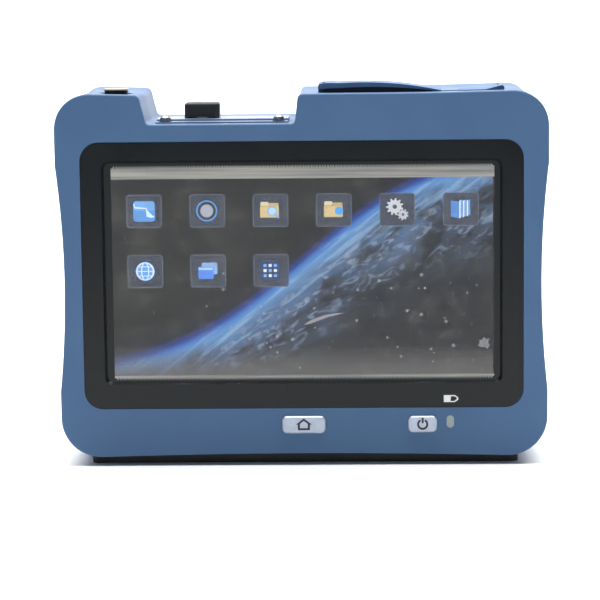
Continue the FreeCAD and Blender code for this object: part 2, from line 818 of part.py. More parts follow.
def gasket_ring():
    outer = case_prism(parting_y, parting_y + gasket_height, gasket_inset)
    inner = case_prism(parting_y, parting_y + gasket_height, gasket_inset + gasket_width)
    return outer.cut(inner)


def pad_places():
    x = case_half - back_side_inset - pad_inset
    return [(-x, case_top - back_top_inset - pad_inset), (x, case_top - back_top_inset - pad_inset)]


def bezel():
    outer = panel(bezel_width, bezel_height, bezel_radius, 0, bezel_middle, bezel_face_y, bezel_back_y)
    front = rectangle_wire(aperture_width, aperture_height, aperture_radius, 0, aperture_middle, bezel_face_y)
    back = rectangle_wire(aperture_width - 2 * aperture_slope, aperture_height - 2 * aperture_slope,
                          aperture_radius - aperture_slope / 2, 0, aperture_middle, bezel_back_y)
    return outer.cut(Part.makeLoft([front, back], True, True))


def film():
    left = film_shift - film_width / 2
    low = aperture_middle + film_shift - film_height / 2
    high = low + film_height
    teeth = int(film_width / film_tooth_pitch)
    pitch = film_width / teeth
    y = bezel_back_y - film_thickness
    points = []
    for index in range(teeth):
        points.append(vector(left + index * pitch, y, high))
        points.append(vector(left + (index + 0.5) * pitch, y, high + film_tooth_height))
    points.append(vector(left + film_width, y, high))
    for index in range(teeth):
        points.append(vector(left + film_width - index * pitch, y, low))
        points.append(vector(left + film_width - (index + 0.5) * pitch, y, low - film_tooth_height))
    points.append(vector(left, y, low))
    return Part.Face(Part.makePolygon(points + points[:1])).extrude(vector(0, film_thickness, 0))


def touch_panel():
    return panel(touch_width, touch_height, lcd_corner_radius, 0, aperture_middle, bezel_back_y, touch_back_y)


def foam_frame():
    outer = panel(touch_width, touch_height, lcd_corner_radius, 0, aperture_middle, touch_back_y, lcd_face_y)
    inner = panel(touch_width - 2 * foam_width, touch_height - 2 * foam_width, lcd_corner_radius, 0,
                  aperture_middle, touch_back_y, lcd_face_y)
    return outer.cut(inner)


def lcd_module():
    return panel(touch_width, touch_height, lcd_corner_radius, 0, aperture_middle, lcd_face_y, lcd_back_y)


# A tray behind the screen module, with a rim round it and lightening windows.
def display_frame():
    width = touch_width + 2 * frame_border
    height = touch_height + 2 * frame_border
    y_low = lcd_back_y
    y_high = y_low + frame_thickness
    plate = panel(width, height, lcd_corner_radius + frame_border, 0, aperture_middle, y_low, y_high)
    rim = panel(width, height, lcd_corner_radius + frame_border, 0, aperture_middle,
                seat_back_y + frame_gap, y_low)
    rim = rim.cut(panel(touch_width + 2 * touch_gap, touch_height + 2 * touch_gap, lcd_corner_radius, 0,
                        aperture_middle, seat_back_y, y_low))
    windows = []
    columns = 4
    cell = (width - 2 * foam_width) / columns
    for column in range(columns):
        for row in (-1, 1):
            x = (column + 0.5 - columns / 2) * cell
            z = aperture_middle + row * height / 4
            windows.append(block(x - cell / 2 + foam_width, x + cell / 2 - foam_width, y_low - past, y_high + past,
                                 z - height / 4 + foam_width, z + height / 4 - foam_width))
    return plate.fuse(rim).cut(windows).removeSplitter()


def key(x, width, height):
    face_y = front_y - key_proud
    flange_y = front_y + wall + key_seat_gap
    cap = panel(width, height, key_radius, x, key_row_z, face_y, flange_y)
    cap = cap.makeChamfer(key_edge_chamfer, edges_in_plane(cap, face_y))
    border = key_flange - key_gap
    flange = panel(width + 2 * border, height + 2 * border, key_radius, x, key_row_z, flange_y,
                   flange_y + key_flange_thickness)
    stem = rod(key_stem_radius, vector(x, key_stem_y, key_row_z),
               vector(x, key_stem_y + key_stem_length, key_row_z))
    return cap.fuse(flange).fuse(stem).removeSplitter()


def key_switches():
    half = switch_width / 2
    switches = []
    for x, width, height in key_list():
        switches.append(block(x - half, x + half, key_switch_y, key_board_y,
                              key_row_z - half, key_row_z + half))
    return Part.Compound(switches)


def key_board():
    left = -home_width / 2 - key_board_border
    right = lens_x + lens_width / 2 + key_board_border
    return block(left, right, key_board_y, key_board_y + key_board_thickness,
                 key_row_z - key_board_height / 2, key_row_z + key_board_height / 2)


# A clear pipe from the light on the key board to the face of the case.
def light_pipe():
    z = key_row_z + lens_rise
    face = panel(lens_width, lens_height, lens_end_radius, lens_x, z, front_y, front_y + wall)
    pipe = panel(lens_width + 2 * lens_flange, lens_height + 2 * lens_flange, lens_width / 2, lens_x, z,
                 front_y + wall, key_board_y)
    return face.fuse(pipe).removeSplitter()


def port_plate():
    left = notch_centre_x - notch_floor_width / 2 + plate_side_gap
    right = notch_centre_x + notch_floor_width / 2 - plate_side_gap
    y_high = plate_y + plate_depth
    step_y = plate_y + plate_step_back
    plate = block(left, right, plate_y, y_high, notch_floor, notch_floor + plate_thickness)
    plate = plate.fuse(block(left, right, step_y, y_high, notch_floor, plate_pad_top))
    ear_in = cap_knuckle_width / 2 + side_gap
    pin_y, pin_z = cap_axis()
    for side in (-1, 1):
        x_low = port_x + min(side * ear_in, side * (ear_in + cap_ear_width))
        x_high = x_low + cap_ear_width
        plate = plate.fuse(block(x_low, x_high, pin_y - cap_knuckle_radius, pin_y + cap_knuckle_radius,
                                 notch_floor + plate_thickness, pin_z))
        plate = plate.fuse(rod(cap_knuckle_radius, vector(x_low, pin_y, pin_z), vector(x_high, pin_y, pin_z)))
    reach = ear_in + cap_ear_width + past
    cuts = [rod(cap_pin_radius, vector(port_x - reach, pin_y, pin_z), vector(port_x + reach, pin_y, pin_z)),
            rod(neck_radius + neck_gap, vector(port_x, port_y, notch_floor - past),
                vector(port_x, port_y, plate_pad_top + past))]
    for x in plate_screw_places():
        cuts.append(rod(plate_screw_radius + plate_screw_gap, vector(x, plate_screw_y, notch_floor - past),
                        vector(x, plate_screw_y, plate_pad_top + past)))
    return plate.cut(cuts).removeSplitter()


def plate_screws():
    screws = []
    for x in plate_screw_places():
        seat = vector(x, plate_screw_y, plate_screw_seat)
        top = plate_screw_seat + plate_head_height
        shank = rod(plate_screw_radius, seat - vector(0, 0, plate_screw_length), seat)
        head = rod(plate_head_radius, seat, vector(x, plate_screw_y, top))
        rim = [edge for edge in head.Edges if abs(edge.CenterOfMass.z - top) < 0.001]
        head = head.makeChamfer(plate_head_chamfer, rim)
        long = plate_head_radius - plate_head_chamfer
        short = plate_recess_width / 2
        recess = [block(x - half_x, x + half_x, plate_screw_y - half_y, plate_screw_y + half_y,
                        top - plate_recess_depth, top + past)
                  for half_x, half_y in ((long, short), (short, long))]
        screws.append(head.fuse(shank).removeSplitter().cut(recess))
    return Part.Compound(screws)


def cap_axis():
    return port_y + cap_depth / 2 + cap_pin_back, plate_pad_top + cap_pin_rise


# The metal fibre adapter: a square flange in the case, a threaded neck above, a barrel below.
def fibre_adapter():
    base = notch_floor
    flange = block(port_x - flange_size / 2, port_x + flange_size / 2, port_y - flange_size / 2,
                   port_y + flange_size / 2, base - flange_thickness, base)
    top = plate_pad_top + neck_height
    low = base - flange_thickness - barrel_length
    neck = rod(neck_radius, vector(port_x, port_y, base - flange_thickness / 2), vector(port_x, port_y, top))
    barrel = rod(barrel_radius, vector(port_x, port_y, low),
                 vector(port_x, port_y, base - flange_thickness / 2))
    body = flange.fuse(neck).fuse(barrel)
    sleeve = ferrule_radius + ferrule_gap + sleeve_wall
    body = body.cut(rod(sleeve, vector(port_x, port_y, top - sleeve_length),
                        vector(port_x, port_y, top + past)))
    body = body.cut(rod(adapter_bore_radius, vector(port_x, port_y, low - past), vector(port_x, port_y, top)))
    key_slot = block(port_x - neck_key_width / 2, port_x + neck_key_width / 2, port_y - neck_radius - past,
                     port_y - neck_radius + neck_key_depth, top - neck_key_length, top + past)
    return body.cut(key_slot).removeSplitter()


def ferrule_sleeve():
    top = plate_pad_top + neck_height
    outer = ferrule_radius + ferrule_gap + sleeve_wall
    return ring(outer, ferrule_radius + ferrule_gap, vector(port_x, port_y, top - sleeve_length),
                vector(port_x, port_y, top))


def dust_cap():
    low = plate_pad_top + cap_seat_gap
    high = plate_pad_top + cap_height
    y_low = port_y - cap_depth / 2
    y_high = port_y + cap_depth / 2
    body = block(port_x - cap_width / 2, port_x + cap_width / 2, y_low, y_high, low, high)
    body = body.makeChamfer(cap_corner, upright_edges(body))
    rim = [edge for edge in body.Edges if all(abs(vertex.Z - high) < 0.001 for vertex in edge.Vertexes)]
    body = body.makeFillet(cap_rim_radius, rim)
    pin_y, pin_z = cap_axis()
    half = cap_knuckle_width / 2
    body = body.fuse(block(port_x - half, port_x + half, y_high - cap_wall / 2, pin_y,
                           pin_z - cap_knuckle_radius, pin_z + cap_knuckle_radius))
    body = body.fuse(rod(cap_knuckle_radius, vector(port_x - half, pin_y, pin_z),
                         vector(port_x + half, pin_y, pin_z)))
    cuts = [rod(neck_radius + cap_fit, vector(port_x, port_y, low - past),
                vector(port_x, port_y, high - cap_wall)),
            rod(cap_pin_radius + pin_gap, vector(port_x - cap_width, pin_y, pin_z),
                vector(port_x + cap_width, pin_y, pin_z)),
            block(port_x - cap_arch_width / 2, port_x + cap_arch_width / 2, y_low - past, port_y, low - past,
                  low + cap_arch)]
    return body.cut(cuts).removeSplitter()


def cap_pin():
    reach = cap_knuckle_width / 2 + side_gap + cap_ear_width
    pin_y, pin_z = cap_axis()
    return rod(cap_pin_radius, vector(port_x - reach, pin_y, pin_z), vector(port_x + reach, pin_y, pin_z))


# A bowed cover, drawn as a side profile through its apex, with knuckles at one end and
# a plug below that enters the socket opening.
def cover(pin, tip_x, tip_rise, apex_rise, plug_left, plug_right, plug_low_y):
    pin_x, pin_z = pin
    towards = 1 if tip_x > pin_x else -1
    tip_z = top_height(tip_x) + tip_rise
    middle_x = (pin_x + tip_x) / 2
    apex_z = top_height(middle_x) + apex_rise
    y_high = cover_y + cover_depth
    upper = Part.Arc(vector(pin_x, cover_y, pin_z + cover_knuckle_radius), vector(middle_x, cover_y, apex_z),
                     vector(tip_x, cover_y, tip_z)).toShape()
    toe_end = vector(tip_x, cover_y, tip_z - cover_toe)
    toe = Part.LineSegment(vector(tip_x, cover_y, tip_z), toe_end).toShape()
    lower = Part.Arc(toe_end, vector(middle_x, cover_y, apex_z - cover_thickness),
                     vector(pin_x, cover_y, pin_z - cover_knuckle_radius)).toShape()
    heel = Part.LineSegment(vector(pin_x, cover_y, pin_z - cover_knuckle_radius),
                            vector(pin_x, cover_y, pin_z + cover_knuckle_radius)).toShape()
    plate = Part.Face(Part.Wire([upper, toe, lower, heel])).extrude(vector(0, cover_depth, 0))
    barrel = rod(cover_knuckle_radius, vector(pin_x, cover_y, pin_z), vector(pin_x, y_high, pin_z))
    body = plate.fuse(barrel)
    plug_top = apex_z - cover_thickness / 2
    outer = block(plug_left, plug_right, plug_low_y, board_y, socket_top + socket_gap, plug_top)
    inner = block(plug_left + plug_wall, plug_right - plug_wall, plug_low_y + plug_wall, board_y - plug_wall,
                  socket_top, plug_top + past)
    heel_foot = vector(pin_x, cover_y, socket_top)
    toe_foot = vector(tip_x, cover_y, socket_top)
    sides = [Part.LineSegment(lower.Vertexes[1].Point, heel_foot).toShape(),
             Part.LineSegment(heel_foot, toe_foot).toShape(),
             Part.LineSegment(toe_foot, lower.Vertexes[0].Point).toShape()]
    under = Part.Face(Part.Wire([lower] + sides)).extrude(vector(0, cover_depth, 0))
    body = body.fuse(outer.cut(inner).common(under))
    post = cover_post_width / 2 + side_gap
    reach = cover_knuckle_radius + cover_knuckle_room
    ends = sorted((pin_x + towards * reach, pin_x - towards * 2 * reach))
    body = body.cut(block(ends[0], ends[1], cover_middle_y - post, cover_middle_y + post,
                          pin_z - 3 * cover_knuckle_radius, pin_z + 3 * cover_knuckle_radius))
    body = body.cut(rod(cover_pin_radius + pin_gap, vector(pin_x, cover_y - past, pin_z),
                        vector(pin_x, y_high + past, pin_z)))
    return body.removeSplitter()


def port_cover():
    return cover(cover_axes()[0], main_cover_right, main_cover_tip_rise, main_cover_apex_rise,
                 sockets_left + plug_end_gap, sockets_right, bay_low_y + socket_gap)


def jack_cover():
    return cover(cover_axes()[1], jack_cover_left, jack_cover_tip_rise, jack_cover_apex_rise,
                 dc_x - dc_width / 2, dc_x + dc_width / 2, board_y - dc_depth)


def cover_pins():
    pins = []
    for x, z in cover_axes():
        pins.append(rod(cover_pin_radius, vector(x, cover_y + pin_end_gap, z),
                        vector(x, cover_y + cover_depth - pin_end_gap, z)))
    return pins


def network_socket():
    kind, left, right, depth, height = socket_places()[0]
    body = block(left, right, board_y - depth, board_y, socket_top - height, socket_top)
    middle = (left + right) / 2
    centre_y = board_y - depth / 2
    mouth = block(middle - rj_mouth_width / 2, middle + rj_mouth_width / 2, centre_y - rj_mouth_depth / 2,
                  centre_y + rj_mouth_depth / 2, socket_top - rj_mouth_height, socket_top + past)
    latch = block(middle - rj_latch_width / 2, middle + rj_latch_width / 2,
                  centre_y - rj_mouth_depth / 2 - rj_latch_depth, centre_y, socket_top - rj_latch_height,
                  socket_top + past)
    return body.cut([mouth, latch])


def usb_sockets():
    sockets = []
    for kind, left, right, depth, height in socket_places()[1:]:
        body = block(left, right, board_y - depth, board_y, socket_top - height, socket_top)
        mouth_front = board_y - depth + usb_wall
        mouth_back = board_y - usb_wall - usb_shift
        mouth = block(left + usb_wall, right - usb_wall, mouth_front, mouth_back,
                      socket_top - height + usb_floor, socket_top + past)
        mouth_y = (mouth_front + mouth_back) / 2
        tongue = block(left + 2 * usb_wall, right - 2 * usb_wall,
                       mouth_y - usb_tongue / 2, mouth_y + usb_tongue / 2,
                       socket_top - height + usb_floor / 2, socket_top - usb_tongue_sink)
        sockets.append(body.cut(mouth).fuse(tongue).removeSplitter())
    return Part.Compound(sockets)


def power_jack():
    body = block(dc_x - dc_width / 2, dc_x + dc_width / 2, board_y - dc_depth, board_y,
                 socket_top - dc_height, socket_top)
    bore = rod(dc_bore_radius, vector(dc_x, dc_middle_y, socket_top - dc_bore_depth),
               vector(dc_x, dc_middle_y, socket_top + past))
    pin = rod(dc_pin_radius, vector(dc_x, dc_middle_y, socket_top - dc_bore_depth - past),
              vector(dc_x, dc_middle_y, socket_top - dc_pin_sink))
    return body.cut(bore).fuse(pin).removeSplitter()


def main_board():
    low = case_bottom + board_bottom_gap
    step_x = notch_right + wall + board_step_gap
    high = socket_top - board_top_gap
    board = block(board_left, board_right, board_y, board_back_y, low, board_step_z)
    board = board.fuse(block(step_x, board_right, board_y, board_back_y, board_step_z - past, high))
    return board.removeSplitter()


# A screened can, with a lid pressed over it.
def measuring_module():
    y_low = board_back_y + module_gap
    return panel(module_width, module_height, module_radius, module_x, module_high - module_height / 2, y_low,
                 y_low + module_depth)


def module_spacers():
    spacers = []
    for x in (module_left + spacer_inset, module_right - spacer_inset):
        for z in (module_high - module_height + spacer_inset, module_high - spacer_inset):
            spacers.append(rod(spacer_radius, vector(x, board_back_y, z),
                               vector(x, board_back_y + module_gap, z)))
    return Part.Compound(spacers)


# A point on the axis of the fibre spool, at a distance behind the main board.
def spool_point(behind):
    return vector(spool_x, board_back_y + behind, module_high - spool_outer_radius)


def fibre_spool():
    hub = rod(spool_hub_radius, spool_point(0), spool_point(spool_depth))
    flange = rod(spool_outer_radius, spool_point(0), spool_point(spool_flange))
    cheek = rod(spool_outer_radius, spool_point(spool_depth - spool_flange), spool_point(spool_depth))
    bore = rod(spool_bore_radius, spool_point(-past), spool_point(spool_depth + past))
    return hub.fuse([flange, cheek]).cut(bore).removeSplitter()


def fibre_coil():
    return ring(spool_outer_radius - coil_margin, spool_hub_radius, spool_point(spool_flange),
                spool_point(spool_depth - spool_flange))


def buzzer():
    x = case_half - buzzer_inset
    z = case_bottom + board_bottom_gap + buzzer_rise
    return rod(buzzer_radius, vector(x, board_back_y, z), vector(x, board_back_y + buzzer_depth, z))


def battery():
    y_low = bay_front_y + battery_gap
    return panel(battery_width, battery_height, battery_radius, 0, door_middle, y_low, y_low + battery_depth)


def battery_door():
    door = panel(door_width, door_height, door_radius, 0, door_middle, door_y, back_y)
    cuts = []
    for x, z in door_screw_places():
        cuts.append(rod(small_screw_radius + door_screw_gap, vector(x, door_y - past, z),
                        vector(x, back_y + past, z)))
        cuts.append(rod(small_head_radius + door_screw_gap, vector(x, door_head_y, z),
                        vector(x, back_y + past, z)))
    grip_high = door_middle + door_height / 2 - grip_inset
    for index in range(grip_count):
        x = (index - (grip_count - 1) / 2) * grip_spacing
        cuts.append(block(x - grip_width / 2, x + grip_width / 2, back_y - grip_depth, back_y + past,
                          grip_high - grip_length, grip_high))
    return door.cut(cuts)


def socket_screw(x, z, head_y, shank_end_y, shank, head, height):
    body = rod(shank, vector(x, shank_end_y, z), vector(x, head_y, z))
    cap = rod(head, vector(x, head_y, z), vector(x, head_y + height, z))
    reach = head * screw_socket_share
    floor = head_y + height * (1 - screw_socket_depth_share)
    corners = [vector(x + reach * math.cos(math.radians(60 * turn)), floor,
                      z + reach * math.sin(math.radians(60 * turn))) for turn in range(7)]
    socket = Part.Face(Part.makePolygon(corners)).extrude(vector(0, height, 0))
    return body.fuse(cap).removeSplitter().cut(socket)


def door_screws():
    return Part.Compound([socket_screw(x, z, door_head_y, door_y - door_screw_grip, small_screw_radius,
                                       small_head_radius, small_head_height) for x, z in door_screw_places()])


def case_screws():
    head_y = back_y - screw_sink
    return Part.Compound([socket_screw(x, z, head_y, parting_y - screw_grip, screw_radius, screw_head_radius,
                                       screw_head_height) for x, z in boss_places()])


def folding_stand():
    reach = stand_width
    body = stand_form(0.0, 0.0, stand_face_y + stand_floor_gap, back_y)
    for side in (-1, 1):
        inner = side * (stand_width / 2 - stand_leg_width)
        outer = side * stand_width / 2
        body = body.fuse(rod(stand_thickness / 2, vector(inner, stand_pin_y, stand_pin_height),
                             vector(outer, stand_pin_y, stand_pin_height)))
    body = body.removeSplitter()
    return body.cut(rod(stand_pin_radius + pin_gap, vector(-reach, stand_pin_y, stand_pin_height),
                        vector(reach, stand_pin_y, stand_pin_height)))


def stand_pins():
    pins = []
    for side in (-1, 1):
        outer = side * (stand_width / 2 + stand_gap + stand_pin_reach)
        inner = side * (stand_width / 2 - stand_leg_width + stand_pin_inset)
        pins.append(rod(stand_pin_radius, vector(inner, stand_pin_y, stand_pin_height),
                        vector(outer, stand_pin_y, stand_pin_height)))
    return pins


def rubber_feet():
    return Part.Compound(foot_blocks(front_foot_back) + foot_blocks(rear_foot_back))


def back_pads():
    return Part.Compound([rod(pad_radius, vector(x, back_y - pad_sink, z), vector(x, back_y + pad_proud, z))
                          for x, z in pad_places()])


def stylus():
    top = top_middle - stylus_head_sink
    shoulder = top - stylus_head_length
    tip_top = top - stylus_length + stylus_tip_length
    head = rod(stylus_head_radius, vector(stylus_x, stylus_y, shoulder), vector(stylus_x, stylus_y, top))
    rim = [edge for edge in head.Edges if abs(edge.CenterOfMass.z - top) < 0.001]
    head = head.makeChamfer(stylus_head_chamfer, rim)
    shaft = rod(stylus_radius, vector(stylus_x, stylus_y, tip_top), vector(stylus_x, stylus_y, shoulder))
    tip = Part.makeCone(stylus_radius, stylus_tip_radius, stylus_tip_length,
                        vector(stylus_x, stylus_y, tip_top), vector(0, 0, -1))
    return head.fuse([shaft, tip]).removeSplitter()


def stylus_sleeve():
    top = top_middle - stylus_head_length - stylus_head_sink - stylus_seat_gap
    low = top_middle - stylus_head_sink - stylus_length - stylus_tip_gap - stylus_floor
    inner = stylus_radius + stylus_gap
    tube = ring(inner + stylus_sleeve_wall, inner, vector(stylus_x, stylus_y, low),
                vector(stylus_x, stylus_y, top))
    floor = rod(inner, vector(stylus_x, stylus_y, low), vector(stylus_x, stylus_y, low + stylus_floor))
    return tube.fuse(floor).removeSplitter()


def save(name, shape):
    shape.exportStep("parts/" + name + ".step")
    print(name, len(shape.Solids), round(shape.Volume, 1))


def build():
    os.makedirs("parts", exist_ok=True)
    save("front_housing", front_housing())
    save("rear_housing", rear_housing())
    save("case_gasket", gasket_ring())
    save("bezel", bezel())
    save("screen_film", film())
    save("touch_panel", touch_panel())
    save("screen_foam", foam_frame())
    save("lcd_module", lcd_module())
    save("display_frame", display_frame())
    save("home_key", key(*key_list()[0]))
    save("power_key", key(*key_list()[1]))
    save("key_switches", key_switches())
    save("key_board", key_board())
    save("light_pipe", light_pipe())
    save("port_plate", port_plate())
    save("port_plate_screws", plate_screws())
    save("fibre_adapter", fibre_adapter())
    save("ferrule_sleeve", ferrule_sleeve())
    save("dust_cap", dust_cap())
    save("dust_cap_pin", cap_pin())
    save("port_cover", port_cover())
    save("jack_cover", jack_cover())
    main_pin, jack_pin = cover_pins()
    save("port_cover_pin", main_pin)
    save("jack_cover_pin", jack_pin)
    save("network_socket", network_socket())
    save("usb_sockets", usb_sockets())
    save("power_jack", power_jack())
    save("main_board", main_board())
    save("measuring_module", measuring_module())
    save("module_spacers", module_spacers())
    save("fibre_spool", fibre_spool())
    save("fibre_coil", fibre_coil())
    save("buzzer", buzzer())
    save("battery_pack", battery())
    save("battery_door", battery_door())
    save("battery_door_screws", door_screws())
    save("case_screws", case_screws())
    save("folding_stand", folding_stand())
    save("stand_pins", Part.Compound(stand_pins()))
    save("rubber_feet", rubber_feet())
    save("back_pads", back_pads())
    save("stylus", stylus())
    save("stylus_sleeve", stylus_sleeve())


build()
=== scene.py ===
import math

import bmesh
import bpy
from mathutils import Matrix, Vector
from mathutils.bvhtree import BVHTree


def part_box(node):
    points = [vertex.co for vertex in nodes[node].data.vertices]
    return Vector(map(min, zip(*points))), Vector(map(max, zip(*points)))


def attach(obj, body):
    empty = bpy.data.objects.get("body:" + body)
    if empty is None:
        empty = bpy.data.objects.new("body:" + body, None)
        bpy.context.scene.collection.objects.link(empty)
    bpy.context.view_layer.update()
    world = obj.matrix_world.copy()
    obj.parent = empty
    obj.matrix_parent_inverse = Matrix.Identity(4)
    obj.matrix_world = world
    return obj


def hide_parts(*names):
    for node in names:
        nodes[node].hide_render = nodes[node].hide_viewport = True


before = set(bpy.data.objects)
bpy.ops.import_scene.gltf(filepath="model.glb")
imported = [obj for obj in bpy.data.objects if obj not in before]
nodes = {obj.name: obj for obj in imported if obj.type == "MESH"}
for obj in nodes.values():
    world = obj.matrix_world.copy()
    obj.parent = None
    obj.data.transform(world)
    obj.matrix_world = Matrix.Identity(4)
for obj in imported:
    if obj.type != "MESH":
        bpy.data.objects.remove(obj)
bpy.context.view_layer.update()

mm = 0.001
print("stage: frame loaded,", len(nodes), "nodes")


def linearColour(hexText):
    channels = [int(hexText[i:i + 2], 16) / 255 for i in (1, 3, 5)]
    return [c / 12.92 if c <= 0.04045 else ((c + 0.055) / 1.055) ** 2.4 for c in channels] + [1.0]


# Adds one node of any kind to any tree. Settings are the node's own properties,
# values fill its sockets, and links join an output socket to one of its inputs.
def addNode(tree, kind, settings=None, values=None, links=None):
    node = tree.nodes.new(kind)
    for name, value in (settings or {}).items():
        setattr(node, name, value)
    for name, value in (values or {}).items():
        node.inputs[name].default_value = value
    for name, socket in (links or {}).items():
        tree.links.new(socket, node.inputs[name])
    return node


# The camera stands a little to the right of the middle and looks slightly down.
view = {"place": (0.02745, -1.0351, 0.21205), "target": (-0.001056, -0.0311, 0.068565),
        "roll": -0.62, "lens": 149.62, "sensor": 36.0}


def addCamera(values):
    place = Vector(values["place"])
    ahead = (Vector(values["target"]) - place).normalized()
    right = ahead.cross(Vector((0, 0, 1))).normalized()
    up = right.cross(ahead)
    roll = math.radians(values["roll"])
    across = right * math.cos(roll) + up * math.sin(roll)
    upward = up * math.cos(roll) - right * math.sin(roll)
    data = bpy.data.cameras.new("camera")
    data.lens = values["lens"]
    data.sensor_width = values["sensor"]
    camera = bpy.data.objects.new("camera", data)
    bpy.context.scene.collection.objects.link(camera)
    turn = Matrix((across, upward, -ahead)).transposed().to_4x4()
    camera.matrix_world = Matrix.Translation(place) @ turn
    bpy.context.scene.camera = camera


addCamera(view)
print("stage: camera placed")


# Sets a socket to a number or a hex colour, or joins it to another node's output.
def feed(tree, socket, value):
    if isinstance(value, bpy.types.NodeSocket):
        tree.links.new(value, socket)
    else:
        socket.default_value = linearColour(value) if isinstance(value, str) else value


# A plain finish whose shader has some sockets set, and the place that its patterns follow.
def newMaterial(name, sockets):
    material = bpy.data.materials.new(name)
    material.use_nodes = True
    tree = material.node_tree
    tree.nodes.clear()
    shader = addNode(tree, "ShaderNodeBsdfPrincipled", values=sockets)
    addNode(tree, "ShaderNodeOutputMaterial", links={"Surface": shader.outputs["BSDF"]})
    place = addNode(tree, "ShaderNodeTexCoord").outputs["Object"]
    return material, tree, shader, place


# Noise whose size is given in millimetres, as it is on the real surface.
def grain(tree, place, size, detail=3.0, stretch=(1, 1, 1), swirl=0.0, turn=0.0):
    spread = addNode(tree, "ShaderNodeMapping", {"vector_type": "TEXTURE"},
                     {"Scale": [1 / share for share in stretch], "Rotation": (0, turn, 0)},
                     {"Vector": place})
    noise = addNode(tree, "ShaderNodeTexNoise", None,
                    {"Scale": 1 / (size * mm), "Detail": detail, "Distortion": swirl},
                    {"Vector": spread.outputs["Vector"]})
    return noise.outputs["Fac"]


# Noise stays mostly between 0.3 and 0.7, and is spread from there over the wanted range.
def mixRange(tree, factor, low, high):
    spread = addNode(tree, "ShaderNodeMapRange", None,
                     {"From Min": 0.3, "From Max": 0.7, "To Min": low, "To Max": high}, {"Value": factor})
    return spread.outputs["Result"]


def mixColour(tree, factor, first, second):
    mix = addNode(tree, "ShaderNodeMix", {"data_type": "RGBA"}, links={"Factor": factor})
    feed(tree, mix.inputs[6], first)
    feed(tree, mix.inputs[7], second)
    return mix.outputs[2]


bumpDepth = 0.05  # of every grain, in millimetres


# A solid finish: two near shades, a grain for the bump, and blotches in the gloss.
def surface(name, shades, grainSize, blotchSize, roughness, bump, stretch=(1, 1, 1), **sockets):
    material, tree, shader, place = newMaterial(name, sockets)
    fine = grain(tree, place, grainSize, stretch=stretch)
    blotch = grain(tree, place, blotchSize, detail=2.0)
    tree.links.new(mixColour(tree, mixRange(tree, blotch, 0, 1), *shades), shader.inputs["Base Color"])
    tree.links.new(mixRange(tree, blotch, roughness[0], roughness[1]), shader.inputs["Roughness"])
    relief = addNode(tree, "ShaderNodeBump", None, {"Strength": bump, "Distance": bumpDepth * mm},
                     {"Height": fine})
    tree.links.new(relief.outputs["Normal"], shader.inputs["Normal"])
    return material


# ABS and polycarbonate blend, injection moulded in a spark-eroded tool: an even satin blue
# with a fine grain. The real grain is about 0.15 mm and is drawn at 0.5 mm so that it shows.
blueAbs = surface("spark eroded blue ABS", ("#43638a", "#47688e"), 0.5, 26, (0.44, 0.5), 0.12,
                  **{"Specular IOR Level": 0.3})

# Thermoplastic elastomer, moulded: the covers are nearly the same blue, and duller.
blueElastomer = surface("moulded blue elastomer", ("#41658c", "#4a6f97"), 0.7, 9, (0.55, 0.68), 0.2)

# ABS, moulded in dark grey with the same grain.
greyAbs = surface("spark eroded dark grey ABS", ("#2c2f33", "#34373b"), 0.5, 20, (0.5, 0.6), 0.15)

# Polycarbonate sheet, printed black from behind and hard coated: deep, with a soft gloss.
hardCoat = surface("hard coated black polycarbonate", ("#0c1216", "#11181c"), 1.2, 30, (0.2, 0.27), 0.02,
                   **{"Specular IOR Level": 0.23})

# ABS, sprayed silver with a satin lacquer: a fine metallic sparkle over light grey.
silverPaint = surface("satin silver lacquer", ("#a3aec2", "#b4bfd2"), 0.35, 3, (0.3, 0.4), 0.08,
                      Metallic=0.35, **{"Coat Weight": 0.3, "Coat Roughness": 0.25})

# Polycarbonate, moulded with a frosted face over the pilot lamp.
frostedLens = surface("frosted polycarbonate", ("#94a3a4", "#a3b1b0"), 0.4, 2, (0.4, 0.5), 0.1,
                      **{"Transmission Weight": 0.15})

# Polycarbonate label stock on the port plate, satin. Its light blue grey is partly its own
# colour and partly a painted reflection of the bright room, seen at a grazing view.
plateLabelAndSheen = surface("satin grey polycarbonate with painted sheen", ("#7a8aa6", "#8695af"), 0.6, 8, (0.35, 0.45), 0.05)

# Steel, cold headed and zinc plated: mid grey, a little uneven.
zincSteel = surface("zinc plated steel", ("#747678", "#8b8d8e"), 0.3, 1.2, (0.25, 0.4), 0.15,
                    Metallic=1.0)

# Brass, turned and nickel plated: warm and bright.
nickelBrass = surface("nickel plated brass", ("#bdb9ae", "#cbc7bd"), 0.25, 2, (0.16, 0.26), 0.06,
                      Metallic=1.0)

# Zirconia, ground: off-white and smooth.
zirconia = surface("ground zirconia", ("#e9e7dd", "#f1efe7"), 0.2, 2, (0.12, 0.2), 0.02)

# Silicone rubber, moulded: soft black, nearly matt, with dust in its pores.
blackRubber = surface("moulded black silicone", ("#131415", "#1e1e1f"), 0.6, 4, (0.5, 0.66), 0.25)

# Nylon, moulded: plain black inside parts.
blackNylon = surface("moulded black nylon", ("#161718", "#202122"), 0.8, 6, (0.45, 0.6), 0.2)

# Fibreglass laminate under green solder resist.
solderMask = surface("green solder resist", ("#0f5a32", "#17693c"), 1.5, 7, (0.25, 0.35), 0.05)

# Aluminium sheet, rolled: fine straight lines along its length.
rolledAluminium = surface("rolled aluminium", ("#b6b8ba", "#c6c8c9"), 0.3, 6, (0.28, 0.4), 0.12,
                          stretch=(0.05, 1, 1), Metallic=1.0)

# Acrylate coated fibre, wound.
coatedFibre = surface("wound coated fibre", ("#d3b822", "#e0c73c"), 0.5, 2, (0.3, 0.4), 0.3,
                      stretch=(1, 4, 1))

# Heat-shrunk film over the cells.
shrinkWrap = surface("dark shrink wrap", ("#20252c", "#2a3038"), 2.5, 12, (0.3, 0.42), 0.2)

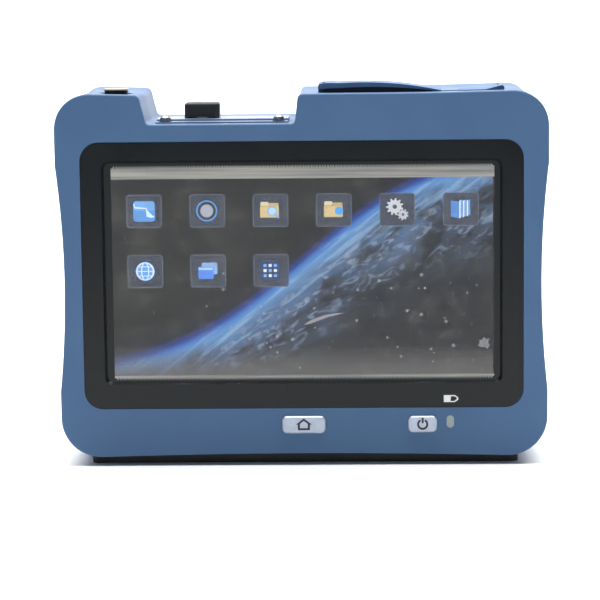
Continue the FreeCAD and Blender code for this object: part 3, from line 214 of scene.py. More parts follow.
# ABS, moulded grey, for the stylus.
stylusAbs = surface("moulded grey ABS", ("#98967f", "#a5a38c"), 0.5, 5, (0.4, 0.5), 0.12)

# Polyurethane foam with closed cells.
closedFoam = surface("closed cell foam", ("#17181a", "#232426"), 0.5, 2, (0.85, 0.95), 0.5)

finishes = {
    blueAbs: ("front_housing", "rear_housing"),
    blueElastomer: ("port_cover", "jack_cover"),
    greyAbs: ("battery_door", "folding_stand"),
    hardCoat: ("bezel",),
    silverPaint: ("home_key", "power_key"),
    frostedLens: ("light_pipe",),
    plateLabelAndSheen: ("port_plate",),
    zincSteel: ("port_plate_screws", "dust_cap_pin", "port_cover_pin", "jack_cover_pin",
                "battery_door_screws", "case_screws", "stand_pins"),
    nickelBrass: ("fibre_adapter", "network_socket", "usb_sockets", "module_spacers"),
    zirconia: ("ferrule_sleeve",),
    blackRubber: ("dust_cap", "rubber_feet", "back_pads", "case_gasket"),
    blackNylon: ("display_frame", "key_switches", "power_jack", "fibre_spool", "buzzer",
                 "stylus_sleeve"),
    solderMask: ("main_board", "key_board"),
    rolledAluminium: ("lcd_module", "measuring_module"),
    coatedFibre: ("fibre_coil",),
    shrinkWrap: ("battery_pack",),
    stylusAbs: ("stylus",),
    closedFoam: ("screen_foam",),
}


def dress(node, material):
    mesh = nodes[node].data
    mesh.materials.clear()
    mesh.materials.append(material)


for material, names in finishes.items():
    for name in names:
        dress(name, material)
print("stage: finishes assigned")


# One step of arithmetic on numbers or on other nodes' outputs.
def calc(tree, operation, *terms):
    node = addNode(tree, "ShaderNodeMath", {"operation": operation})
    for place, term in enumerate(terms):
        feed(tree, node.inputs[place], term)
    return node.outputs[0]


# A colour for each stop between 0 and 1.
def ramp(tree, factor, stops):
    node = addNode(tree, "ShaderNodeValToRGB", links={"Fac": factor})
    elements = node.color_ramp.elements
    while len(elements) < len(stops):
        elements.new(0.5)
    for element, (place, colour) in zip(elements, stops):
        element.position = place
        element.color = linearColour(colour)
    return node.outputs["Color"]


def smoothStep(tree, value, low, high):
    node = addNode(tree, "ShaderNodeMapRange", {"interpolation_type": "SMOOTHSTEP"},
                   {"From Min": low, "From Max": high}, {"Value": value})
    return node.outputs["Result"]


# Heights are in half heights of the screen. Those of the wisps, the cloud and the streaks are
# measured from the crest of the wave, and the others from the middle of the screen.
picture = {
    "glow": 0.82,          # how much of the light comes from behind
    "lean": 0.95, "rise": 0.1, "wave": 0.16, "waveRate": 3.2,
    "bands": ((0.0, "#22262c"), (0.25, "#2d343f"), (0.45, "#45536a"), (0.62, "#5a7aa6"),
              (0.69, "#6da3dd"), (0.72, "#4c8ae0"), (0.75, "#27489f"), (0.79, "#222634"),
              (0.9, "#222427"), (1.0, "#26282b")),
    "bandRate": 0.6, "bandCrest": 0.75, "bend": (0.0, -0.5),
    "turn": -0.56, "fade": (-0.06, -0.3),
    "wispSize": 3.6, "wispCut": (0.48, 0.68), "wispFade": (-1.05, -0.3), "cloudPale": "#8fa5c2",
    "cloudSize": 12.0, "cloudCut": (0.5, 0.36), "cloudShare": 0.75, "cloudDark": "#1d2430",
    "streakSize": 4.0, "streakTurn": -0.64, "streakCut": (0.5, 0.66), "streakShare": 0.6,
    "streakTop": (-0.02, -0.08), "streakFoot": (-0.42, -0.2), "streak": "#9cc8f0",
    # The grey band rising from the bottom is a painted reflection of the bright table.
    "tableReflection": "#706f70", "reflectionRise": (-0.62, -0.98), "reflectionShare": 0.85,
    "border": "#121518", "sideEdge": (0.999, 0.994), "topEdge": (0.964, 0.958),
    "footEdge": (-0.99, -0.984),
    "glass": "#050506", "roughness": 0.35, "shine": 0.3,
}


# Glass over a lit liquid crystal screen: a dark upper corner, one soft blue wave and
# marbled cloud below it, and along the bottom a grey band: a painted reflection of the bright table.
def pictureMaterial(values):
    material, tree, shader, place = newMaterial("lit screen under glass", {
        "Base Color": linearColour(values["glass"]), "Emission Strength": values["glow"],
        "Roughness": values["roughness"], "Specular IOR Level": values["shine"]})
    low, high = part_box("screen_film")
    axes = addNode(tree, "ShaderNodeSeparateXYZ", links={"Vector": place})
    across = calc(tree, "DIVIDE", axes.outputs["X"], (high[0] - low[0]) / 2)
    upward = calc(tree, "DIVIDE", calc(tree, "SUBTRACT", axes.outputs["Z"], (low[2] + high[2]) / 2),
                  (high[2] - low[2]) / 2)

    def tint(base, share, colour):
        return mixColour(tree, share, base, values[colour])

    def step(value, limits):
        return smoothStep(tree, value, *values[limits])

    swing = calc(tree, "SINE", calc(tree, "MULTIPLY", across, values["waveRate"]))
    crest = calc(tree, "ADD", calc(tree, "MULTIPLY_ADD", across, values["lean"], values["rise"]),
                 calc(tree, "MULTIPLY", swing, values["wave"]))
    height = calc(tree, "SUBTRACT", upward, crest)
    wisps = grain(tree, place, values["wispSize"], 12.0, (0.5, 1, 1.2), 1.3, values["turn"])
    cloud = grain(tree, place, values["cloudSize"], 9.0, (0.6, 1, 1.3), 0.8, values["turn"])
    streaks = grain(tree, place, values["streakSize"], 6.0, (0.14, 1, 2.0), 0.3, values["streakTurn"])

    # The wave's bands, bent by the cloud below the crest.
    bend = calc(tree, "MULTIPLY", calc(tree, "SUBTRACT", cloud, 0.5), step(height, "bend"))
    bent = calc(tree, "ADD", height, bend)
    base = ramp(tree, calc(tree, "MULTIPLY_ADD", bent, values["bandRate"], values["bandCrest"]),
                values["bands"])

    # Pale wisps and dark cloud, and bright streaks along the crest.
    inside = step(height, "fade")
    pale = calc(tree, "MULTIPLY", step(wisps, "wispCut"), inside)
    base = tint(base, calc(tree, "MULTIPLY", pale, step(height, "wispFade")), "cloudPale")
    deep = calc(tree, "MULTIPLY", step(cloud, "cloudCut"), inside)
    base = tint(base, calc(tree, "MULTIPLY", deep, values["cloudShare"]), "cloudDark")
    belt = calc(tree, "MULTIPLY", step(height, "streakTop"), step(height, "streakFoot"))
    lit = calc(tree, "MULTIPLY", step(streaks, "streakCut"), belt)
    base = tint(base, calc(tree, "MULTIPLY", lit, values["streakShare"]), "streak")

    # The painted reflection of the table along the bottom, and the unlit border round the picture.
    base = tint(base, calc(tree, "MULTIPLY", step(upward, "reflectionRise"), values["reflectionShare"]), "tableReflection")
    ends = calc(tree, "MULTIPLY", step(upward, "topEdge"), step(upward, "footEdge"))
    lighted = calc(tree, "MULTIPLY", step(calc(tree, "ABSOLUTE", across), "sideEdge"), ends)
    base = mixColour(tree, lighted, values["border"], base)
    tree.links.new(base, shader.inputs["Emission Color"])
    return material


dress("touch_panel", pictureMaterial(picture))


# Lets the light straight through, apart from the share that the finish takes.
def letThrough(tree, shader, share):
    clear = addNode(tree, "ShaderNodeBsdfTransparent")
    mix = addNode(tree, "ShaderNodeMixShader", links={1: clear.outputs[0], 2: shader.outputs[0]})
    feed(tree, mix.inputs[0], share)
    output = next(node for node in tree.nodes if node.type == "OUTPUT_MATERIAL")
    tree.links.new(mix.outputs[0], output.inputs["Surface"])


film = {"barLow": 118.1, "barBlur": (-0.1, 0.2), "edgeHigh": 37.4, "edgeBlur": (0.3, -0.3),
        "edgeShare": 0.8, "bar": ("#7d8082", "#b3b1a9"), "roughness": 0.35, "veil": 0.035,
        "blotchCut": (0.45, 0.8), "specks": 0.3, "speckCut": (0.73, 0.8), "most": 0.97,
        "topCut": 1.5, "footCut": 0.5, "backGap": 0.12}


# Polyethylene film over the screen: clear, a little cloudy, with dull streaks where it lies over
# the bright bar at the top and along its cut lower edge.
def filmMaterial(values):
    material, tree, shader, place = newMaterial("clear protective film", {"Roughness": values["roughness"]})
    heightAxis = addNode(tree, "ShaderNodeSeparateXYZ", links={"Vector": place}).outputs["Z"]
    streaks = grain(tree, place, 3.0, 5.0, (0.06, 1, 2.2))
    blotches = grain(tree, place, 9.0, 4.0)
    specks = grain(tree, place, 1.1, 1.0)

    def step(height, blur):
        return smoothStep(tree, heightAxis, (height + blur[0]) * mm, (height + blur[1]) * mm)

    shade = mixColour(tree, mixRange(tree, streaks, 0, 1), *values["bar"])
    tree.links.new(shade, shader.inputs["Base Color"])
    edge = calc(tree, "MULTIPLY", step(values["edgeHigh"], values["edgeBlur"]), values["edgeShare"])
    covered = calc(tree, "ADD", step(values["barLow"], values["barBlur"]), edge)
    clouds = calc(tree, "MULTIPLY", smoothStep(tree, blotches, *values["blotchCut"]), values["veil"] * 2)
    dots = calc(tree, "MULTIPLY", smoothStep(tree, specks, *values["speckCut"]), values["specks"])
    cloudy = calc(tree, "ADD", calc(tree, "ADD", clouds, dots), values["veil"])
    letThrough(tree, shader, calc(tree, "MINIMUM", calc(tree, "ADD", covered, cloudy), values["most"]))
    return material


# Colours printed or lit in flat shapes, read from the piece's own colour attribute.
def inkMaterial(name, glow, roughness):
    material, tree, shader, place = newMaterial(name, {"Emission Strength": glow, "Roughness": roughness})
    ink = addNode(tree, "ShaderNodeAttribute", {"attribute_name": "ink"}).outputs["Color"]
    uneven = mixColour(tree, mixRange(tree, grain(tree, place, 1.5), 0.0, 0.07), ink, "#7c828c")
    tree.links.new(uneven, shader.inputs["Base Color"])
    tree.links.new(uneven, shader.inputs["Emission Color"])
    return material


screenInk = inkMaterial("lit screen symbols", 0.42, 0.4)
# Pad printed ink: a thin satin coat.
printedInk = inkMaterial("pad printed ink", 0.0, 0.5)
print("stage: screen materials made")


# A flat outline is a list of points in millimetres, across and upward.
def roundedRect(width, height, radius, x=0.0, z=0.0, steps=5):
    points = []
    for quarter, (sideX, sideZ) in enumerate(((1, 1), (-1, 1), (-1, -1), (1, -1))):
        for step in range(steps + 1):
            angle = math.pi / 2 * (quarter + step / steps)
            points.append((x + sideX * (width / 2 - radius) + radius * math.cos(angle),
                           z + sideZ * (height / 2 - radius) + radius * math.sin(angle)))
    return points


def disc(radius, x=0.0, z=0.0, steps=36, squeeze=1.0):
    return [(x + squeeze * radius * math.cos(2 * math.pi * step / steps),
             z + radius * math.sin(2 * math.pi * step / steps)) for step in range(steps)]


# A bent bar between two radii, from one angle to another in degrees.
def arcBand(outer, inner, start, end, steps=40):
    angles = [math.radians(start + (end - start) * step / steps) for step in range(steps + 1)]
    return ([(outer * math.cos(a), outer * math.sin(a)) for a in angles]
            + [(inner * math.cos(a), inner * math.sin(a)) for a in reversed(angles)])


def gear(radius, teeth, x=0.0, z=0.0, root=0.76):
    points = []
    for tooth in range(teeth):
        for share, reach in ((0.0, root), (0.28, root), (0.4, 1.0), (0.72, 1.0), (0.84, root)):
            angle = 2 * math.pi * (tooth + share) / teeth
            points.append((x + reach * radius * math.cos(angle), z + reach * radius * math.sin(angle)))
    return points


# A line of even width through some points.
def stroke(points, width):
    left, right = [], []
    for index, point in enumerate(points):
        before = Vector(points[max(index - 1, 0)])
        after = Vector(points[min(index + 1, len(points) - 1)])
        along = (after - before).normalized()
        side = Vector((-along.y, along.x)) * width / 2
        left.append(tuple(Vector(point) + side))
        right.append(tuple(Vector(point) - side))
    return left + right[::-1]


# The band between two closed outlines, cut where their first points lie.
def frameBand(outer, inner):
    return outer + outer[:1] + inner[:1] + inner[::-1]


def newObject(name, bm, material=None):
    mesh = bpy.data.meshes.new(name)
    bm.to_mesh(mesh)
    bm.free()
    if material:
        mesh.materials.append(material)
    thing = bpy.data.objects.new(name, mesh)
    bpy.context.scene.collection.objects.link(thing)
    return thing


def newPiece(name, bm, material, body):
    piece = newObject(name, bm, material)
    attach(piece, body)
    return piece


# Adds one thin closed plate, whose outline is in metres in X and Z.
def addPlate(bm, outline, back, front, colour):
    layers = bm.loops.layers.float_color
    ink = layers.get("ink") or layers.new("ink")
    rear = [bm.verts.new((x, back, z)) for x, z in outline]
    face = [bm.verts.new((x, front, z)) for x, z in outline]
    faces = [bm.faces.new(rear), bm.faces.new(face[::-1])]
    faces += [bm.faces.new((rear[i - 1], rear[i], face[i], face[i - 1])) for i in range(len(outline))]
    for made in faces:
        for loop in made.loops:
            loop[ink] = linearColour(colour)
    bmesh.ops.recalc_face_normals(bm, faces=faces)


inkCoat = {"pitch": 0.02, "thick": 0.016, "lift": 0.005}


# One symbol made of plates in layers. Each shape is an outline in millimetres about
# the symbol's centre, a colour, and the layer that it lies on.
def addSymbol(name, shapes, centre, faceY, material, body):
    bm = bmesh.new()
    for outline, colour, level in shapes:
        metres = [(centre[0] + x * mm, centre[1] + z * mm) for x, z in outline]
        back = faceY - (level * inkCoat["pitch"] + inkCoat["lift"]) * mm
        addPlate(bm, metres, back, back - inkCoat["thick"] * mm, colour)
    newPiece(name, bm, material, body)


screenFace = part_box("touch_panel")[0][1]
tiles = {"columns": (-64.1, -38.6, -13.1, 12.8, 38.6, 64.4), "rows": (105.1, 80.5), "counts": (6, 3),
         "width": 14.5, "height": 13.6, "corner": 1.3, "rim": 0.35, "edgeShare": 0.42, "faceShare": 0.62,
         "thick": 0.01, "lift": 0.004, "faceLift": 0.014}
blue, skyBlue, silver, slate = "#4f8fd2", "#6ba3dc", "#b9bdc4", "#3a4350"
globeLine = "#c7d8ea"
folder = [(roundedRect(7.4, 5.8, 0.5, 0.0, 0.1), "#b79f6c", 2),
          (roundedRect(3.2, 1.6, 0.4, -2.0, 2.7), "#c9c0a0", 3),
          (roundedRect(7.6, 4.4, 0.4, 0.0, -0.7), "#c7b280", 3)]
traceLine = ((-4.1, 3.0), (-3.8, 1.5), (0.9, 1.2), (1.3, -2.3), (2.1, -1.5), (2.7, -2.4), (4.1, -2.2))


# The spine and the page of one upright book, at its place in the row.
def bookSpine(index):
    x, rise = -0.1 + index * 1.5, index * 0.4
    return [(x, -3.5 + rise), (x + 0.9, -3.2 + rise), (x + 0.9, 3.8), (x, 3.6)], "#5e93cf", 2


def bookPage(index):
    x, rise = -0.6 + index * 1.5, index * 0.4
    return [(x, -3.9 + rise), (x + 0.5, -3.6 + rise), (x + 0.5, 3.6), (x, 3.3)], "#d3dae2", 3


# One small square of the grid, in turn pale and blue.
def gridSquare(column, row):
    shade = "#d3dbe8" if (column + row) % 2 else "#6b9ce0"
    return roundedRect(1.3, 1.2, 0.3, (column - 1) * 2.1, (row - 1) * 2.1), shade, 3


# Each icon has its column and row among the tiles, and its shapes.
icons = {
    "traceIcon": ((0, 0), [
        (roundedRect(8.9, 8.4, 1.3), blue, 2),
        (roundedRect(8.3, 3.6, 1.0, 0, 2.1), skyBlue, 3),
        (stroke(traceLine, 0.5), "#d5e3ee", 4)]),
    "targetIcon": ((1, 0), [
        (disc(4.3), "#4a8fd6", 2), (disc(3.75), "#272b33", 3), (disc(2.6), "#9a9faf", 4)]),
    "searchIcon": ((2, 0), folder + [
        (stroke(((2.3, -1.5), (3.8, -3.1)), 0.8), skyBlue, 4),
        (disc(1.95, 1.1, -0.3), skyBlue, 4), (disc(1.5, 1.1, -0.3), "#a3c3da", 5)]),
    "folderIcon": ((3, 0), folder + [(disc(1.7, 2.3, -0.4), "#4a9adb", 4)]),
    "settingsIcon": ((4, 0), [
        (gear(3.5, 11, -0.9, 1.1), silver, 2), (disc(0.9, -0.9, 1.1), slate, 3),
        (gear(2.3, 9, 2.4, -2.1), "#adb1ba", 3), (disc(0.55, 2.4, -2.1), slate, 4)]),
    "booksIcon": ((5, 0), [
        ([(-4.0, -3.0), (-0.6, -3.9), (-0.6, 3.0), (-4.0, 3.4)], "#4680c4", 2),
        *[bookPage(index) for index in range(3)], *[bookSpine(index) for index in range(3)]]),
    "globeIcon": ((0, 1), [
        (disc(3.9), "#5a97da", 2), (stroke(((-3.8, 0.0), (3.8, 0.0)), 0.35), globeLine, 3),
        *[(stroke(((-3.2, z), (3.2, z)), 0.3), globeLine, 3) for z in (-1.9, 1.9)],
        *[(frameBand(disc(3.7, squeeze=wide), disc(3.35, squeeze=wide - 0.09)), globeLine, 4)
          for wide in (0.45, 1.0)]]),
    "windowsIcon": ((1, 1), [
        (roundedRect(6.3, 4.8, 0.6, 0.8, 1.0), "#7da3d6", 2),
        (roundedRect(6.3, 5.0, 0.6, -0.7, -0.8), "#4a7fd8", 3),
        (roundedRect(5.7, 1.0, 0.3, -0.7, 0.9), "#9bbfe8", 4)]),
    "gridIcon": ((2, 1), [
        (roundedRect(8.0, 7.8, 0.3), "#20345c", 2),
        *[gridSquare(column, row) for column in range(3) for row in range(3)]]),
}
for name, ((column, row), shapes) in icons.items():
    spot = (tiles["columns"][column] * mm, tiles["rows"][row] * mm)
    addSymbol(name, shapes, spot, screenFace, screenInk, "case")

# A crease that the stylus left in the film, and an odd-shaped patch where the film has come loose.
crease = {"centre": (8.7, 60.6), "ink": "#7d8184", "layer": 5,
          "outline": [(-8.3, -2.6), (-6.4, -1.1), (-3.2, 0.3), (0.8, 1.6), (5.1, 2.2), (8.3, 2.3),
                      (5.0, 1.4), (1.2, 0.5), (-2.4, -0.9), (-5.6, -2.1)]}
loosePatch = {"centre": (73.6, 50.2), "ink": "#8f9193", "layer": 5,
              "outline": [(-2.3, -0.9), (-1.1, -1.9), (0.4, -1.6), (1.6, -2.6), (2.4, -1.0), (1.9, 0.4),
                          (2.5, 1.9), (1.1, 1.5), (0.2, 2.6), (-0.7, 1.2), (-1.9, 1.3), (-1.5, 0.2)]}


def addMark(name, mark, material):
    centre = (mark["centre"][0] * mm, mark["centre"][1] * mm)
    addSymbol(name, [(mark["outline"], mark["ink"], mark["layer"])], centre, screenFace, material, "case")


addMark("crease", crease, screenInk)
print("stage: screen symbols made")


# Starts a geometry tree with named inputs, and gives back the sockets they arrive on.
def newTree(name, inputs):
    tree = bpy.data.node_groups.new(name, "GeometryNodeTree")
    tree.interface.new_socket("Geometry", in_out="OUTPUT", socket_type="NodeSocketGeometry")
    for label, kind in inputs.items():
        tree.interface.new_socket(label, in_out="INPUT", socket_type="NodeSocket" + kind)
    return tree, addNode(tree, "NodeGroupInput").outputs


# Ends a tree in real mesh with its material, runs it once, and keeps the result as a piece.
def runTree(tree, geometry, material, values, name, body):
    real = addNode(tree, "GeometryNodeRealizeInstances", links={"Geometry": geometry})
    dressed = addNode(tree, "GeometryNodeSetMaterial", values={"Material": material},
                      links={"Geometry": real.outputs["Geometry"]})
    addNode(tree, "NodeGroupOutput", links={"Geometry": dressed.outputs["Geometry"]})
    piece = bpy.data.objects.new(name, bpy.data.meshes.new(name + "Start"))
    bpy.context.scene.collection.objects.link(piece)
    modifier = piece.modifiers.new("repeat", "NODES")
    modifier.node_group = tree
    for item in tree.interface.items_tree:
        if item.in_out == "INPUT":
            modifier[item.identifier] = values[item.name]
    shape = piece.evaluated_get(bpy.context.evaluated_depsgraph_get())
    mesh = bpy.data.meshes.new_from_object(shape)
    piece.modifiers.clear()
    piece.data = mesh
    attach(piece, body)


# The outline of one item as a closed plate about the origin, for a tree to repeat.
def seedPlate(name, outline, depth):
    bm = bmesh.new()
    addPlate(bm, [(x * mm, z * mm) for x, z in outline], 0.0, -depth * mm, "#ffffff")
    return newObject(name, bm)


# A row of equal items, each a step from the last.
def addRow(name, outline, depth, start, step, count, material, body):
    tree, given = newTree(name + "Tree", {"Item": "Object", "Count": "Int", "Start": "Vector",
                                          "Step": "Vector"})
    row = addNode(tree, "GeometryNodeMeshLine",
                  links={"Count": given["Count"], "Start Location": given["Start"], "Offset": given["Step"]})
    item = addNode(tree, "GeometryNodeObjectInfo", links={"Object": given["Item"]})
    spread = addNode(tree, "GeometryNodeInstanceOnPoints",
                     links={"Points": row.outputs["Mesh"], "Instance": item.outputs["Geometry"]})
    seed = seedPlate(name + "Seed", outline, depth)
    values = {"Item": seed, "Count": count, "Start": start, "Step": step}
    runTree(tree, spread.outputs["Instances"], material, values, name, body)
    bpy.data.objects.remove(seed)


# Items scattered over a rectangle that faces the front, each at its own size.
def addScatter(name, outline, depth, centre, size, density, seedNumber, sizes, material, body):
    tree, given = newTree(name + "Tree", {"Item": "Object", "Width": "Float", "Height": "Float",
                                          "Density": "Float", "Seed": "Int", "Smallest": "Float",
                                          "Largest": "Float", "Centre": "Vector"})
    sheet = addNode(tree, "GeometryNodeMeshGrid",
                    links={"Size X": given["Width"], "Size Y": given["Height"]})
    upright = addNode(tree, "GeometryNodeTransform", values={"Rotation": (math.pi / 2, 0, 0)},
                      links={"Geometry": sheet.outputs["Mesh"], "Translation": given["Centre"]})
    points = addNode(tree, "GeometryNodeDistributePointsOnFaces",
                     links={"Mesh": upright.outputs["Geometry"], "Density": given["Density"],
                            "Seed": given["Seed"]})
    scale = addNode(tree, "FunctionNodeRandomValue", {"data_type": "FLOAT"})
    tree.links.new(given["Smallest"], scale.inputs[2])
    tree.links.new(given["Largest"], scale.inputs[3])
    tree.links.new(given["Seed"], scale.inputs["Seed"])
    item = addNode(tree, "GeometryNodeObjectInfo", links={"Object": given["Item"]})
    spread = addNode(tree, "GeometryNodeInstanceOnPoints",
                     links={"Points": points.outputs["Points"], "Instance": item.outputs["Geometry"],
                            "Scale": scale.outputs[1]})
    seed = seedPlate(name + "Seed", outline, depth)
    values = {"Item": seed, "Width": size[0], "Height": size[1], "Density": density, "Seed": seedNumber,
              "Smallest": sizes[0], "Largest": sizes[1], "Centre": centre}
    runTree(tree, spread.outputs["Instances"], material, values, name, body)
    bpy.data.objects.remove(seed)


veil = {"blotch": 6, "glow": 0.45, "roughness": 0.4}


# A lit plate that lets some of the picture through.
def veilMaterial(name, colours, share):
    material, tree, shader, place = newMaterial(name, {"Emission Strength": veil["glow"],
                                                       "Roughness": veil["roughness"]})
    tone = mixColour(tree, mixRange(tree, grain(tree, place, veil["blotch"]), 0, 1), *colours)
    tree.links.new(tone, shader.inputs["Base Color"])
    tree.links.new(tone, shader.inputs["Emission Color"])
    letThrough(tree, shader, share)
    return material


# Each tile is a thin outline with a darker face in front of it.
tileEdge = veilMaterial("lit tile edge", ("#6c7487", "#767d8e"), tiles["edgeShare"])
tileVeil = veilMaterial("lit translucent tile", ("#343b49", "#3f4654"), tiles["faceShare"])
tileOutline = roundedRect(tiles["width"], tiles["height"], tiles["corner"])
innerOutline = roundedRect(tiles["width"] - 2 * tiles["rim"], tiles["height"] - 2 * tiles["rim"],
                           tiles["corner"] - tiles["rim"])
tileStep = (tiles["columns"][-1] - tiles["columns"][0]) / (len(tiles["columns"]) - 1)
for index, (count, height) in enumerate(zip(tiles["counts"], tiles["rows"])):
    edgeStart = (tiles["columns"][0] * mm, screenFace - tiles["lift"] * mm, height * mm)
    faceStart = (edgeStart[0], edgeStart[1] - tiles["faceLift"] * mm, edgeStart[2])
    for name, outline, start, lit in (("tileEdges", tileOutline, edgeStart, tileEdge),
                                      ("tileRow", innerOutline, faceStart, tileVeil)):
        addRow("%s%d" % (name, index + 1), outline, tiles["thick"], start, (tileStep * mm, 0, 0), count, lit,
               "case")

# Air under the film: the loose patch, and small bubbles over the lower part of the screen.
# Both glow a faint grey: painted sheen of the light that the air gaps catch.
airGapSheen = veilMaterial("painted sheen of air under the film", ("#8b8e92", "#9a9ca0"), 0.32)
addMark("torn", loosePatch, airGapSheen)
bubbles = {"density": 9000.0, "seed": 7, "sizes": (0.2, 0.9), "radius": 0.75, "thick": 0.02,
           "aside": 14, "below": 20, "margin": 34, "high": 40, "lift": 0.115}
low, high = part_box("screen_film")
bubbleCentre = ((low[0] + high[0]) / 2 + bubbles["aside"] * mm, screenFace - bubbles["lift"] * mm,
                (low[2] + high[2]) / 2 - bubbles["below"] * mm)
bubbleSheet = (high[0] - low[0] - bubbles["margin"] * mm, bubbles["high"] * mm)
addScatter("filmBubbles", disc(bubbles["radius"], steps=12), bubbles["thick"], bubbleCentre, bubbleSheet,
           bubbles["density"], bubbles["seed"], bubbles["sizes"], airGapSheen, "case")
print("stage: tiles and bubbles repeated")


# A piece that stands for a CAD node is a merged copy of it, with some of its points moved.
# The copy keeps the shading of the CAD surface, corner by corner.
def mergedCopy(node):
    bm = bmesh.new()
    bm.from_mesh(nodes[node].data)
    drawn = bm.loops.layers.float_vector.new("drawnNormal")
    normals = nodes[node].data.corner_normals
    for face, polygon in zip(bm.faces, nodes[node].data.polygons):
        for loop, corner in zip(face.loops, polygon.loop_indices):
            loop[drawn] = normals[corner].vector
    bmesh.ops.remove_doubles(bm, verts=bm.verts, dist=0.001 * mm)
    return bm


def standIn(bm, node, name, material, body):
    piece = newPiece(name, bm, material, body)
    drawn = piece.data.attributes.get("drawnNormal")
    if drawn:
        normals = [tuple(item.vector) for item in drawn.data]
        piece.data.attributes.remove(drawn)
        piece.data.shade_smooth()
        piece.data.normals_split_custom_set(normals)
    else:
        piece.data.shade_smooth()
        piece.data.set_sharp_from_angle(angle=math.radians(25))
    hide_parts(node)


def copyNode(node, name, material, body, change):
    bm = mergedCopy(node)
    for vert in bm.verts:
        change(vert.co)
    standIn(bm, node, name, material, body)


# Joins rings of points, from the lowest up, into one closed block.
def addBlock(bm, rings):
    rows = [[bm.verts.new(point) for point in ring] for ring in rings]
    faces = [bm.faces.new(rows[0]), bm.faces.new(rows[-1])]
    for lower, upper in zip(rows, rows[1:]):
        faces += [bm.faces.new((lower[i - 1], lower[i], upper[i], upper[i - 1])) for i in range(len(lower))]
    bmesh.ops.recalc_face_normals(bm, faces=faces)


def between(value, low, high):
    return min(max((value - low) / (high - low), 0.0), 1.0)


def ease(value, low, high):
    share = between(value, low, high)
    return share * share * (3 - 2 * share)


# The case's front rim is crisper than it was drawn: each point of the rounding moves out
# towards the corner of the case, and the rounding keeps its shape.
rim = {"drawn": 2.4, "real": 0.9, "slack": 0.02}
same = 0.005 * mm  # two places closer than this are one


# The nearest place to a point on a ring's straight pieces, and how far off it is.
def nearestOn(segments, x, z):
    best = None
    for (ax, az), (bx, bz) in segments:
        runX, runZ = bx - ax, bz - az
        share = ((x - ax) * runX + (z - az) * runZ) / max(runX * runX + runZ * runZ, 1e-18)
        share = min(max(share, 0.0), 1.0)
        spot = (ax + share * runX, az + share * runZ)
        gap = math.hypot(spot[0] - x, spot[1] - z)
        if best is None or gap < best[0]:
            best = (gap, spot)
    return best


def sharpenRim(bm, front, values):
    drawn, real = values["drawn"] * mm, values["real"] * mm
    ringY = front + drawn
    segments = [tuple((vert.co.x, vert.co.z) for vert in edge.verts) for edge in bm.edges
                if all(abs(vert.co.y - ringY) < same for vert in edge.verts)]
    for vert in bm.verts:
        point = vert.co
        if point.y > ringY + same:
            continue
        gap, (x, z) = nearestOn(segments, point.x, point.z)
        if gap < drawn + values["slack"] * mm:
            point.x = x + (point.x - x) * real / drawn
            point.z = z + (point.z - z) * real / drawn
            point.y = front + (point.y - front) * real / drawn


# The top of the front half rises a little towards its front edge, apart from the knuckles of
# its hinges, and the notch's right wall stands steeper than it was drawn.
frontTop = {"rise": 0.8, "parting": -1.1, "front": -31.1, "from": 128.0, "full": 148.0,
            "knuckles": 152.7, "flapKnuckle": (5.0, 12.0), "jackKnuckle": 79.0}
wall = {"lean": -2.0, "foot": 136.5, "top": 151.5, "leftEnd": -7.0, "left": -5.0, "right": 2.8,
        "rightEnd": 5.8}


def steepenWall(point):
    near = (ease(point.x / mm, wall["leftEnd"], wall["left"])
            * (1 - ease(point.x / mm, wall["right"], wall["rightEnd"])))
    point.x += wall["lean"] * near * between(point.z / mm, wall["foot"], wall["top"]) * mm


def raiseFront(point):
    near, far = frontTop["flapKnuckle"]
    byHinge = near * mm < point.x < far * mm or point.x > frontTop["jackKnuckle"] * mm
    if byHinge and point.z > frontTop["knuckles"] * mm:
        return
    forward = (frontTop["parting"] - point.y / mm) / (frontTop["parting"] - frontTop["front"])
    point.z += frontTop["rise"] * forward * ease(point.z / mm, frontTop["from"], frontTop["full"]) * mm


housing = mergedCopy("front_housing")
sharpenRim(housing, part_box("front_housing")[0][1], rim)
for vert in housing.verts:
    steepenWall(vert.co)
    raiseFront(vert.co)
standIn(housing, "front_housing", "frontCase", blueAbs, "case")

# The top of the back half runs nearly level to its back edge. What is let into that part
# of the back moves up with it.
levelTop = {"from": 108.0, "full": 131.0, "depths": (-1.1, 22.1, 31.1), "drops": (0.0, 3.6, 8.0),
            "kept": 0.9}


def liftTop(point):
    near, middle, far = levelTop["depths"]
    level, halfDrop, fullDrop = levelTop["drops"]
    depth = point.y / mm
    if depth <= middle:
        drop = level + (halfDrop - level) * max(0.0, (depth - near) / (middle - near))
    else:
        drop = halfDrop + (fullDrop - halfDrop) * (depth - middle) / (far - middle)
    share = 1 - levelTop["kept"] / fullDrop
    point.z += drop * share * ease(point.z / mm, levelTop["from"], levelTop["full"]) * mm
    steepenWall(point)


for node, name, material in (("rear_housing", "rearCase", blueAbs), ("back_pads", "backPads", blackRubber),
                             ("case_screws", "caseScrews", zincSteel)):
    copyNode(node, name, material, "case", liftTop)

# Two black rubber strips run across the underside, and their tops are let into it. They are
# real feet, and they run nearly the full width as painted shadow under the body.
feet = {"half": 88.0, "high": 4.6, "corner": 2.0, "foot": 0.4}
padY = [vert.co.y for vert in nodes["rubber_feet"].data.vertices]
middleY = (min(padY) + max(padY)) / 2
feetAndShadowStrips = bmesh.new()
for rows in ([y for y in padY if y < middleY], [y for y in padY if y > middleY]):
    centre, deep = (min(rows) + max(rows)) / 2, max(rows) - min(rows)
    outline = roundedRect(2 * feet["half"], deep / mm, feet["corner"])
    inset = roundedRect(2 * (feet["half"] - feet["foot"]), deep / mm - 2 * feet["foot"],
                        feet["corner"] - feet["foot"])
    addBlock(feetAndShadowStrips, [[(x * mm, centre + y * mm, height * mm) for x, y in shape]
                      for shape, height in ((inset, 0.0), (outline, feet["foot"]), (outline, feet["high"]))])
standIn(feetAndShadowStrips, "rubber_feet", "rubberFeet", blackRubber, "case")

